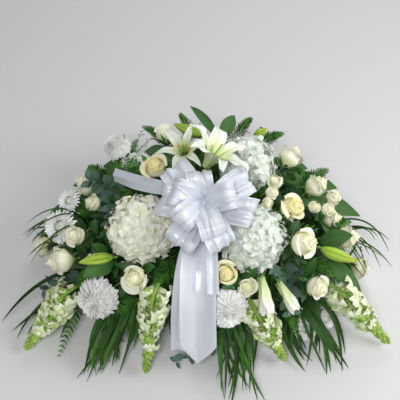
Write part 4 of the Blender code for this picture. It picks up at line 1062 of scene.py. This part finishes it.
def make_snapdragon(name, ends):
    surface = Surface()
    draw = random.Random(name)
    start, tip = both_ends(*ends, SPIKE_RADIUS * 1.1, SPIKE_TIP_LEVEL)
    foot = stem_foot(start)
    line = tip - start
    ahead = unit(line)
    tube(surface, curve_through([foot, start, start + line * 0.5, tip - line * 0.02], 14),
         [THICK_STEM_RADIUS] * 8 + [0.0036, 0.0036, 0.0034, 0.0032, 0.0028, 0.0014], kind=2)
    side, up = frame_of(ahead, TOWARDS_VIEWER)
    for index in range(SPIKE_FLORETS + SPIKE_BUDS):
        turn = index * GOLDEN_TURN
        facing = math.sin(turn)
        out = unit(side * math.cos(turn) + up * (facing if facing < 0 else facing * FRONT_SHARE))
        if index < SPIKE_FLORETS:
            share = 0.02 + 0.60 * (index / SPIKE_FLORETS) ** 0.95
            size = FLORET_LENGTH * (1 - 0.50 * share**1.2) * draw.uniform(0.8, 1.15)
            opened = float(np.clip(1.25 - 1.35 * share, 0.1, 1))
            snap_floret(surface, start + line * share, out, ahead, size, opened, draw)
        else:
            out = around(side, up, turn)
            share = 0.40 + 0.57 * (index - SPIKE_FLORETS) / SPIKE_BUDS
            size = BUD_LENGTH * (1.45 - 0.95 * share) * draw.uniform(0.85, 1.15)
            snap_bud(surface, start + line * share, out, ahead, size, draw)
    for index in range(SPIKE_LEAVES):
        out = around(side, up, math.pi / 2 + draw.uniform(-0.9, 0.9))
        root = start + line * (0.04 + 0.5 * index / SPIKE_LEAVES)
        tip_out = root + out * 0.012 + ahead * draw.uniform(0.016, 0.026)
        blade(surface, [root, (root + tip_out) / 2 + out * 0.004, tip_out], (0.003, 0.0055, 0.001), out,
              0.3, 3, draw.random(), 2)
    surface.make(name + "_spike", [snapdragon_petal, stem_skin, snapdragon_bud], "snapdragon", name)
    for share in (0.1, 0.35, 0.6):
        blooms.append((start + line * share, SPIKE_RADIUS * 0.8))


# The bow: loops, as (pixel, depth, share of the ribbon's width, rise, layer), and the points of
# tails, as (pixel, depth, width)
BOW_KNOT = ((204, 205), 1.10)
KNOT_RADIUS = 0.020
RIBBON_WIDTH = 0.070
BOW_LOOPS = (
    ((171, 166), 1.22, 0.90, 0.024, -1),
    ((159, 200), 1.22, 0.90, 0.024, -1),
    ((178, 245), 1.23, 0.90, 0.022, -1),
    ((223, 245), 1.24, 0.80, 0.022, -1),
    ((254, 213), 1.27, 0.80, 0.020, -1),
    ((250, 177), 1.20, 0.85, 0.024, -1),
    ((198, 171), 1.32, 0.72, 0.020, 1),
    ((172, 190), 1.34, 0.75, 0.020, 1),
    ((180, 222), 1.34, 0.72, 0.020, 1),
    ((214, 234), 1.34, 0.70, 0.020, 1),
    ((234, 194), 1.36, 0.75, 0.020, 1),
)
LAYER_STEP = 0.010
LOOP_CREASES = 6
TAIL_START_WIDTH = 0.020
TAIL_ROWS = 61
TAILS = {
    "tail_wide": (
        ((201, 240), 1.04, 0.066), ((199, 275), 1.08, 0.070),
        ((199, 312), 1.12, 0.070), ((200, 345), 1.13, 0.070), ((199, 362), 1.12, 0.002),
    ),
    "tail_left": (
        ((190, 245), 1.01, 0.032), ((184, 275), 1.03, 0.034),
        ((181, 312), 1.05, 0.034), ((180, 350), 1.05, 0.030),
    ),
    "tail_right": (
        ((211, 240), 1.05, 0.022), ((213, 264), 1.12, 0.022),
        ((214, 294), 1.14, 0.022),
    ),
}

# Seen left of the bow: a ribbon end that lies over the greenery, away from the tails
SIDE_END = (
    ((176, 190), 1.14, 0.024), ((156, 187), 1.06, 0.030),
    ((134, 182), 1.01, 0.032), ((114, 175), 0.99, 0.028),
)


def length_of(path):
    return float(np.linalg.norm(np.diff(path, axis=0), axis=1).sum())


def power(values, exponent):
    return np.sign(values) * np.abs(values) ** exponent


def ribbon_loop(surface, knot, end, width, lift, draw):
    """A boxy loop of ribbon, pleated at the knot, with sharp creases; gives its length."""
    out = end - knot
    side, up = frame_of(unit(out), TOWARDS_VIEWER)
    rows, columns = 61, 49
    turn = np.linspace(0, 2 * math.pi, rows)
    share = (1 - power(np.cos(turn), 0.75)) / 2
    rise = lift * power(np.sin(turn), 0.7) * share**0.4
    path = knot + np.outer(share, out) - np.outer(rise, up)
    normal = unit(np.cross(side, headings(path)))
    u, _ = grid(rows, columns)
    spread = (0.36 + 0.64 * np.sin(np.minimum(1, share * 1.5) * math.pi / 2))[:, None]
    flat = width / 2
    phase = draw.uniform(-0.6, 0.6)
    depth = flat * 0.20 * (1 - 0.92 * spread) ** 0.8 * np.cos(u * math.pi * 2.5 + phase)
    for _ in range(LOOP_CREASES):
        middle, slant = draw.uniform(-0.9, 0.9), draw.uniform(-0.9, 0.9)
        near = np.abs(u - middle - slant * (share[:, None] - 0.5)) / draw.uniform(0.06, 0.22)
        depth = depth + flat * draw.choice((-1, 1)) * draw.uniform(0.06, 0.15) * np.exp(-near) * spread
    twist = flat * draw.uniform(-0.16, 0.16) * u * share[:, None]
    points = moved(path[:, None], (side, u * flat * spread), (normal[:, None], depth + twist))
    surface.patch(points, draw.random(), 0)
    return length_of(path)


def make_bow():
    draw = random.Random("bow")
    knot = mound_point(*BOW_KNOT)
    rise = unit(knot)
    surface = Surface()
    total = 0.0
    for pixel, depth, width, lift, layer in BOW_LOOPS:
        start = knot + rise * (LAYER_STEP * layer)
        total += ribbon_loop(
            surface, start, mound_point(pixel, depth), RIBBON_WIDTH * width, lift, draw)
    loops = surface.make("bow_loops", [white_satin], "ribbon", "ribbon_bow")
    surface = Surface()
    u, v = grid(33, 21)
    turn = v * 2 * math.pi
    side, up = frame_of(rise, TOWARDS_VIEWER)
    reach = KNOT_RADIUS * (0.86 + 0.10 * np.cos(u * 7)) * (1 - 0.22 * u**2)
    local = stacked(u * KNOT_RADIUS * 0.72, reach * np.cos(turn), reach * np.sin(turn))
    surface.patch(knot + local @ np.array((side, up, rise)), 0.4, 0)
    wrap = surface.make("bow_knot", [white_satin], "ribbon")
    for name, spots in (*TAILS.items(), ("side_end", SIDE_END)):
        surface = Surface()
        points = [knot, *[mound_point(pixel, depth) for pixel, depth, _ in spots]]
        widths = [TAIL_START_WIDTH, *[width for _, _, width in spots]]
        path = curve_through(points, TAIL_ROWS)
        places = np.linspace(0, len(points) - 1, TAIL_ROWS)
        wide = np.interp(places, np.arange(len(points)), widths)
        side = UP_IN_VIEW if name == "side_end" else RIGHT
        normal = unit(np.cross(side, headings(path)))
        u, v = grid(TAIL_ROWS, 21)
        half = wide[:, None] / 2
        pinched = 1 - ease(v / 0.22)
        fold = half * (-0.34 * (1 - np.abs(u + 0.15)) + 0.05 * np.cos(u * 5 + v * 3))
        fold = fold + 0.006 * pinched * np.cos(u * math.pi * 2.5)
        surface.patch(moved(path[:, None], (side, u * half), (normal[:, None], -fold)), 0.3, 0)
        tail = surface.make("bow_" + name, [white_satin], "ribbon")
    blooms.append((knot * 0.95, 0.03))


# Ferns, as (root pixel, width, fronds as (pixel, depth, tip pixel, tip depth))
FRONDS = {
    "fern_left": ((112, 215), 0.040, (
        ((122, 172), 0.80, (137, 138), 0.98),
        ((104, 176), 0.78, (86, 168), 1.02),
        ((96, 222), 0.80, (80, 212), 1.04),
        ((66, 236), 0.88, (36, 237), 1.06),
        ((100, 262), 0.80, (76, 290), 1.04),
    )),
    "fern_right": ((296, 214), 0.042, (
        ((286, 180), 0.80, (303, 168), 1.00),
        ((305, 182), 0.84, (330, 168), 1.02),
        ((276, 204), 0.84, (292, 222), 1.14),
        ((322, 236), 0.84, (352, 219), 1.04),
        ((308, 256), 0.84, (334, 276), 1.06),
    )),
    "fern_front": ((196, 286), 0.040, (
        ((171, 270), 0.86, (154, 288), 1.05),
        ((136, 300), 0.84, (110, 322), 1.00),
        ((86, 298), 0.92, (60, 362), 1.10),
        ((240, 296), 0.84, (262, 330), 1.00),
        ((286, 300), 0.86, (298, 336), 1.06),
        ((320, 296), 0.90, (352, 312), 1.04),
    )),
    "fern_back": ((205, 150), 0.046, (
        ((165, 140), 0.86, (140, 126), 1.00),
        ((190, 132), 0.86, (178, 112), 1.00),
        ((238, 132), 0.88, (252, 116), 1.04),
        ((262, 140), 0.86, (285, 132), 1.02),
    )),
}

# A frond's width against its solid's, and its pairs of side leaves
BACK_FROND = (0.9, 22)
OTHER_FROND = (1.3, 18)


def frond(surface, path, facing, width, pairs, lobes, draw):
    """A fern frond: pairs of lobed side leaves along a rib, longest low down."""
    place = np.repeat(0.06 + 0.92 * np.arange(pairs) / pairs, 2)
    sign = np.tile((-1.0, 1.0), pairs)
    start, line = read_along(path, place), unit(read_along(headings(path), place))
    side = unit(np.cross(line, facing))
    up = unit(np.cross(side, line))
    reach = width / 2 * (1 - place) ** 0.75 * np.minimum(1, 0.70 + place * 1.8) + 0.002
    stray = np.array([draw.uniform(-0.18, 0.18) for _ in place])
    direction = unit(side * sign[:, None] + line * (0.55 + 0.5 * place)[:, None] + up * stray[:, None])
    cross = unit(np.cross(direction, up))
    above = np.cross(cross, direction)
    long = reach * np.array([draw.uniform(0.9, 1.1) for _ in place])
    t, u = np.meshgrid(np.linspace(0, 1, 2 * lobes + 1), (-1, 0, 1), indexing="ij")
    spacing = length_of(path) / pairs
    half = (np.minimum(reach * 0.21, spacing * 0.46) + 0.0005)[:, None, None] * (1 - 0.9 * t) ** 0.6
    half = half * np.where(np.arange(2 * lobes + 1) % 2, 1.0, 0.5)[:, None]
    forward = long[:, None, None] * (t + 0.5 / lobes * np.abs(u) * (t < 0.99))
    droop = -0.14 * long[:, None, None] * t**2 + half * 0.25 * np.abs(u)
    start, direction, cross, above = (rows[:, None, None] for rows in (start, direction, cross, above))
    points = moved(start, (direction, forward), (cross, u * half), (above, droop))
    tones = [draw.random() for _ in place]
    # Side leaves further out on the rib read further along the colours: painted light, lighter towards the
    # frond's tip
    along = (0.3 + 0.7 * place)[:, None, None] + 0 * t
    surface.patches(points, tones, 0, along=along, across=u)
    radii = np.interp(np.linspace(0, 1, len(path)), (0, 1), (0.0012, 0.0004))
    tube(surface, path[::2], radii[::2], 5, 0.5, 1)


def make_ferns():
    for name, (root_pixel, width, fronds) in FRONDS.items():
        surface, draw, root = cluster(name, root_pixel, FINE_STEM_RADIUS)
        for ends in fronds:
            base, tip = both_ends(*ends, FLOOR_GAP * 2, FLOOR_GAP * 2)
            long = np.linalg.norm(tip - base)
            low = base + (root - base) * 0.35
            path = curve_through([low, *arch(base, tip, long * 0.10, 4)], 16)
            growth, pairs = BACK_FROND if name == "fern_back" else OTHER_FROND
            frond(surface, path, TOWARDS_VIEWER, width * growth, pairs, 4, draw)
            tube(surface, [root, low], 0.0012, 6)
        surface.make(name + "_fronds", [fern_leaf, stem_skin], "fern", name)


# Lily grass and bear grass, as (root pixel, first and last tip as (pixel, depth), blades, width)
GRASS_TUFTS = {
    "lily_grass_left": ((128, 290), ((78, 390), 1.0), ((136, 352), 1.0), 9, 0.008),
    "lily_grass_far_left": ((100, 268), ((14, 330), 1.0), ((60, 345), 1.0), 6, 0.007),
    "lily_grass_centre": ((226, 296), ((222, 404), 1.0), ((262, 392), 1.0), 7, 0.007),
    "lily_grass_right": ((292, 292), ((286, 352), 1.0), ((352, 366), 1.0), 8, 0.008),
    "bear_grass_left": ((96, 232), ((12, 226), 1.25), ((30, 262), 1.2), 6, 0.0028),
    "bear_grass_right": ((330, 232), ((398, 236), 1.25), ((378, 290), 1.2), 6, 0.0028),
}
GRASS_MULTIPLE = 4
BLADE_RISE = (0.03, 0.34)
THIN_RISE = (0.16, 0.46)
GRASS_TRIES = 12
BLADE_STEPS = 18
HIDDEN_STEPS = 6
THIN_BLADE = 0.004
GRASS_LOW = np.array(cad_low) + (-0.012, 0.002, 0.002)
GRASS_HIGH = np.array(cad_high) + 0.012


def free_of_blooms(path):
    centres = np.array([centre for centre, _ in blooms])
    radii = np.array([radius for _, radius in blooms])
    return bool((np.linalg.norm(path[:, None] - centres, axis=-1) > radii).all())


def blade_path(draw, root, first, last, share, thin):
    """One blade's path from its tuft's root to a tip between the tuft's first and last tips."""
    stray = 4 if thin else 10
    pixel = [a + (b - a) * share + draw.uniform(-stray, stray) for a, b in zip(first[0], last[0])]
    depth = first[1] + (last[1] - first[1]) * share
    tip = mound_point(pixel, depth * draw.uniform(0.96, 1.04), FLOOR_GAP * 2)
    start = root + np.array([draw.uniform(-0.016, 0.016) for _ in range(3)])
    tip = start + (tip - start) * draw.uniform(0.70, 1.05)
    rise = np.linalg.norm(tip - start) * draw.uniform(*(THIN_RISE if thin else BLADE_RISE))
    sway = (0.014 if thin else 0.030) * draw.uniform(-1, 1)
    bend = (RIGHT + UP_IN_VIEW * 0.4) * (sway * np.sin(np.linspace(0, 3.1, BLADE_STEPS)))[:, None]
    return arch(start, tip, rise, BLADE_STEPS) + bend


def make_grass():
    for name, (root_pixel, first, last, blades, width) in GRASS_TUFTS.items():
        surface, draw, root = cluster(name, root_pixel, FINE_STEM_RADIUS)
        thin = width < THIN_BLADE
        count = blades * GRASS_MULTIPLE // (2 if thin else 1)
        for index in range(count):
            share = index / (count - 1)
            for _ in range(GRASS_TRIES):
                path = blade_path(draw, root, first, last, share, thin)
                path = np.minimum(np.maximum(path, GRASS_LOW), GRASS_HIGH)
                if free_of_blooms(path[HIDDEN_STEPS:]):
                    break
            reach = np.linspace(0, 1, BLADE_STEPS)
            widths = width * draw.uniform(0.85, 1.35) * (1 - reach**4) ** 0.9 + 0.0006
            twist = unit(TOWARDS_VIEWER + RIGHT * draw.uniform(-0.6, 0.6))
            blade(surface, path, widths, twist, 0.35, 3, draw.random(), 0)
        surface.make(name + "_blades", [grass_leaf, stem_skin], "grass", name)


# Eucalyptus, as (root pixel, sprigs as (pixel, depth, tip pixel, tip depth))
EUCALYPTUS = {
    "eucalyptus_left": ((116, 208), (
        ((124, 196), 0.80, (88, 182), 1.06),
        ((120, 208), 0.78, (112, 224), 1.00),
        ((96, 280), 0.86, (44, 292), 1.04),
    )),
    "eucalyptus_right": ((298, 276), (
        ((281, 262), 0.86, (292, 312), 1.05),
        ((290, 270), 0.80, (330, 306), 0.98),
        ((250, 316), 0.90, (176, 362), 0.98),
    )),
}
SPRIG_PAIRS = 9
SPRIG_LEAF = 0.029


def round_leaf(surface, start, direction, facing, size, draw):
    """A broad pointed leaf on a short stalk, a little folded along its rib."""
    side = unit(np.cross(direction, facing))
    up = np.cross(side, direction)
    u, v = grid(9, 7)
    half = size * 0.36 * np.maximum(0.02, np.sin(math.pi * v**0.85)) ** 0.8
    lift = half * 0.25 * np.abs(u) ** 1.3 - size * 0.16 * v**2 * draw.uniform(0, 1.5)
    base = start + direction * size * 0.12
    points = moved(base, (direction, size * 1.15 * v), (side, u * half), (up, lift))
    surface.patch(points, draw.random(), 0)
    tube(surface, [start, base + direction * size * 0.05], 0.0006, 5, 0.5, 1)


def sprig(surface, path, draw):
    """Pairs of leaves along a twig, each pair turned against the one before."""
    for index in range(SPRIG_PAIRS):
        place = 0.10 + 0.86 * index / (SPRIG_PAIRS - 1)
        point, line = read_along(path, place), unit(read_along(headings(path), place))
        side = unit(np.cross(line, TOWARDS_VIEWER))
        up = unit(np.cross(side, line))
        across = around(side, up, (index % 2) * 0.9 + draw.uniform(-0.3, 0.3))
        for sign in (-1, 1):
            ahead = line * draw.uniform(0.3, 1.1)
            direction = unit(across * sign + ahead + up * draw.uniform(-0.3, 0.5))
            leaf = SPRIG_LEAF * (1.1 - 0.45 * place) * draw.uniform(0.7, 1.2)
            tilted = unit(up + line * draw.uniform(-0.2, 0.6) + side * draw.uniform(-0.4, 0.4))
            round_leaf(surface, point, direction, tilted, leaf, draw)
    radii = np.interp(np.linspace(0, 1, len(path)), (0, 1), (0.0013, 0.0006))
    tube(surface, path, radii, 6, 0.5, 1)


def make_eucalyptus():
    for name, (root_pixel, sprigs) in EUCALYPTUS.items():
        surface, draw, root = cluster(name, root_pixel, FINE_STEM_RADIUS)
        for ends in sprigs:
            base, tip = both_ends(*ends, FLOOR_GAP * 2, FLOOR_GAP * 5)
            long = np.linalg.norm(tip - base)
            path = curve_through([base, *arch(base, tip, long * 0.10, 4)[1:]], 16)
            sprig(surface, path, draw)
            tube(surface, [root, base], 0.0013, 6)
        surface.make(name + "_sprigs", [eucalyptus_leaf, stem_skin], "eucalyptus", name)


# The greenery under and between the blooms: leaves and fronds that fan out from the foam on
# every side, each kind as (count, least and greatest reach as shares of the mound)
DEEP_LEAVES = (430, 0.52, 0.80)
OUTER_LEAVES = (190, 0.80, 0.96)
UNDER_FRONDS = (230, 0.74, 1.00)
LOW_FRONDS = (50, 0.90, 1.04)
FAN_START = (0.45, 0.42, 0.35)
FAN_START_LEVEL = 0.035


def fan_path(draw, reach, level, tilt):
    """A path from the foam out to a point of the mound scaled by reach."""
    turn = draw.uniform(0, 2 * math.pi)
    flat = math.cos(level)
    tip = MOUND * reach * (math.cos(turn) * flat, math.sin(turn) * flat, math.sin(level))
    tip[2] = max(tip[2], LEAF_LEVEL)
    start = tip * FAN_START + UP * FAN_START_LEVEL
    long = np.linalg.norm(tip - start)
    return arch(start, tip, long * draw.uniform(0.05, tilt), 12)


def scatter(count, least, most, skipped, top, draw):
    """Paths that fan out, each clear of the blooms from its skipped-th point on."""
    paths = []
    while len(paths) < count:
        path = fan_path(draw, draw.uniform(least, most), math.asin(draw.uniform(0.0, top)), 0.2)
        if free_of_blooms(path[skipped:]):
            paths.append(path)
    return paths


def make_understory():
    draw = random.Random("understory")
    for name, (count, least, most), material, wide in (
        # The deep leaves take the near-black under_leaf colours: painted shade in the gaps between blooms
        ("under_leaves", DEEP_LEAVES, under_leaf, (0.030, 0.048)),
        ("outer_leaves", OUTER_LEAVES, ruscus_leaf, (0.018, 0.032)),
    ):
        surface = Surface()
        for path in scatter(count, least, most, 6, 0.99, draw):
            path = path[4:]
            share = np.linspace(0, 1, len(path))
            widths = draw.uniform(*wide) * np.maximum(0.04, np.sin(math.pi * share**0.8) ** 0.7)
            facing = unit(path[-1] / MOUND + UP * 0.4 + stray_by(draw, 0.35))
            blade(surface, path, widths, facing, 0.2, 5, draw.random(), 0, 0.08)
        surface.make(name, [material], "lily_leaf")
    surface = Surface()
    paths = scatter(*UNDER_FRONDS, 5, 0.98, draw) + scatter(*LOW_FRONDS, 5, 0.15, draw)
    for path in paths:
        facing = unit(path[-1] / MOUND + UP * 0.4)
        frond(surface, path, facing, draw.uniform(0.055, 0.085), 11, 3, draw)
    surface.make("under_fronds", [fern_leaf, stem_skin], "fern")


# Thin dark twigs with small buds, as (pixel, depth, tip pixel, tip depth)
TWIGS = (
    ((128, 160), 0.80, (142, 130), 1.04), ((126, 160), 0.80, (124, 139), 1.05),
    ((132, 158), 0.80, (151, 138), 1.05), ((255, 150), 0.80, (262, 126), 1.08),
    ((262, 152), 0.80, (276, 138), 1.06), ((214, 150), 0.80, (198, 122), 1.12),
    ((240, 140), 0.80, (246, 129), 1.12),
)


def make_twigs():
    draw = random.Random("twigs")
    surface = Surface()
    for twig in TWIGS:
        base, tip = both_ends(*twig)
        path = arch(base, tip, np.linalg.norm(tip - base) * 0.08, 12)
        tube(surface, path, np.linspace(0.0010, 0.0004, 12), 5, 0.5, 0)
        for share in (4, 6, 8, 9, 10, 11):
            out = unit(stray_by(draw, 1) + UP)
            long = draw.uniform(0.006, 0.012)
            ends = [path[share], path[share] + out * long * 0.5, path[share] + out * long]
            tube(surface, ends, 0.0004, 5, 0.5, 0)
            bud = [ends[-1] + out * 0.0012 * step for step in range(4)]
            tube(surface, bud, [0.0008, 0.0016, 0.0014, 0.0005], 6, draw.random(), 0)
    surface.make("twigs", [twig_bark], "grass")


LAMPS = (
    ("key", (-0.3, -1.5, 2.5), 33, 0.8),
    ("side", (1.6, -0.3, 1.25), 23, 1.2),
    ("back", (0.4, 2.0, 1.8), 15, 1.4),
)
FLOOR_HALF = 6
SKY = (0.95, 0.97, 1.0, 1)
SKY_STRENGTH = 0.21


def make_stage():
    """A pale floor, soft studio light and the camera at the photograph's angle."""
    mesh = bpy.data.meshes.new("floor")
    corners = [(FLOOR_HALF * x, FLOOR_HALF * y, 0) for x, y in ((-1, -1), (1, -1), (1, 1), (-1, 1))]
    mesh.from_pydata(corners, [], [(0, 1, 2, 3)])
    floor = bpy.data.objects.new("floor", mesh)
    grey, lighter = (0.70, 0.70, 0.70), (0.71, 0.71, 0.71)
    mesh.materials.append(plain_material("pale_floor", grey, lighter, 0.9, 2, 0.0))
    bpy.context.scene.collection.objects.link(floor)
    for name, place, energy, size in LAMPS:
        data = bpy.data.lights.new(name, "AREA")
        data.energy = energy
        data.size = size
        lamp = bpy.data.objects.new(name, data)
        lamp.location = place
        lamp.rotation_euler = (-Vector(place)).to_track_quat("-Z", "Y").to_euler()
        bpy.context.scene.collection.objects.link(lamp)
    world = bpy.data.worlds.new("studio")
    world.use_nodes = True
    background = world.node_tree.nodes["Background"]
    background.inputs["Color"].default_value = SKY
    background.inputs["Strength"].default_value = SKY_STRENGTH
    bpy.context.scene.world = world
    bpy.context.scene.view_settings.view_transform = "Standard"
    bpy.context.scene.cycles.max_bounces = 16
    bpy.context.scene.cycles.diffuse_bounces = 12
    data = bpy.data.cameras.new("camera")
    data.sensor_width = SENSOR
    data.lens = SENSOR * VIEW_DISTANCE / PIXEL / IMAGE_SIZE
    camera = bpy.data.objects.new("camera", data)
    camera.location = TOWARDS_VIEWER * VIEW_DISTANCE
    right, up = IMAGE_SIZE / 2 - ORIGIN_PIXEL[0], ORIGIN_PIXEL[1] - IMAGE_SIZE / 2
    target = RIGHT * (right * PIXEL) + UP_IN_VIEW * (up * PIXEL)
    look = Vector(target - TOWARDS_VIEWER * VIEW_DISTANCE)
    camera.rotation_euler = look.to_track_quat("-Z", "Y").to_euler()
    bpy.context.scene.collection.objects.link(camera)
    bpy.context.scene.camera = camera


make_stage()
make_roses()
for name, values in HYDRANGEAS.items():
    make_hydrangea(name, *values)
make_mums()
for name, values in LILIES.items():
    make_lily(name, *values)
make_trumpets()
make_lily_stems()
for name, ends in SNAPDRAGONS.items():
    make_snapdragon(name, ends)
make_bow()
make_ferns()
make_grass()
make_eucalyptus()
make_understory()
make_twigs()
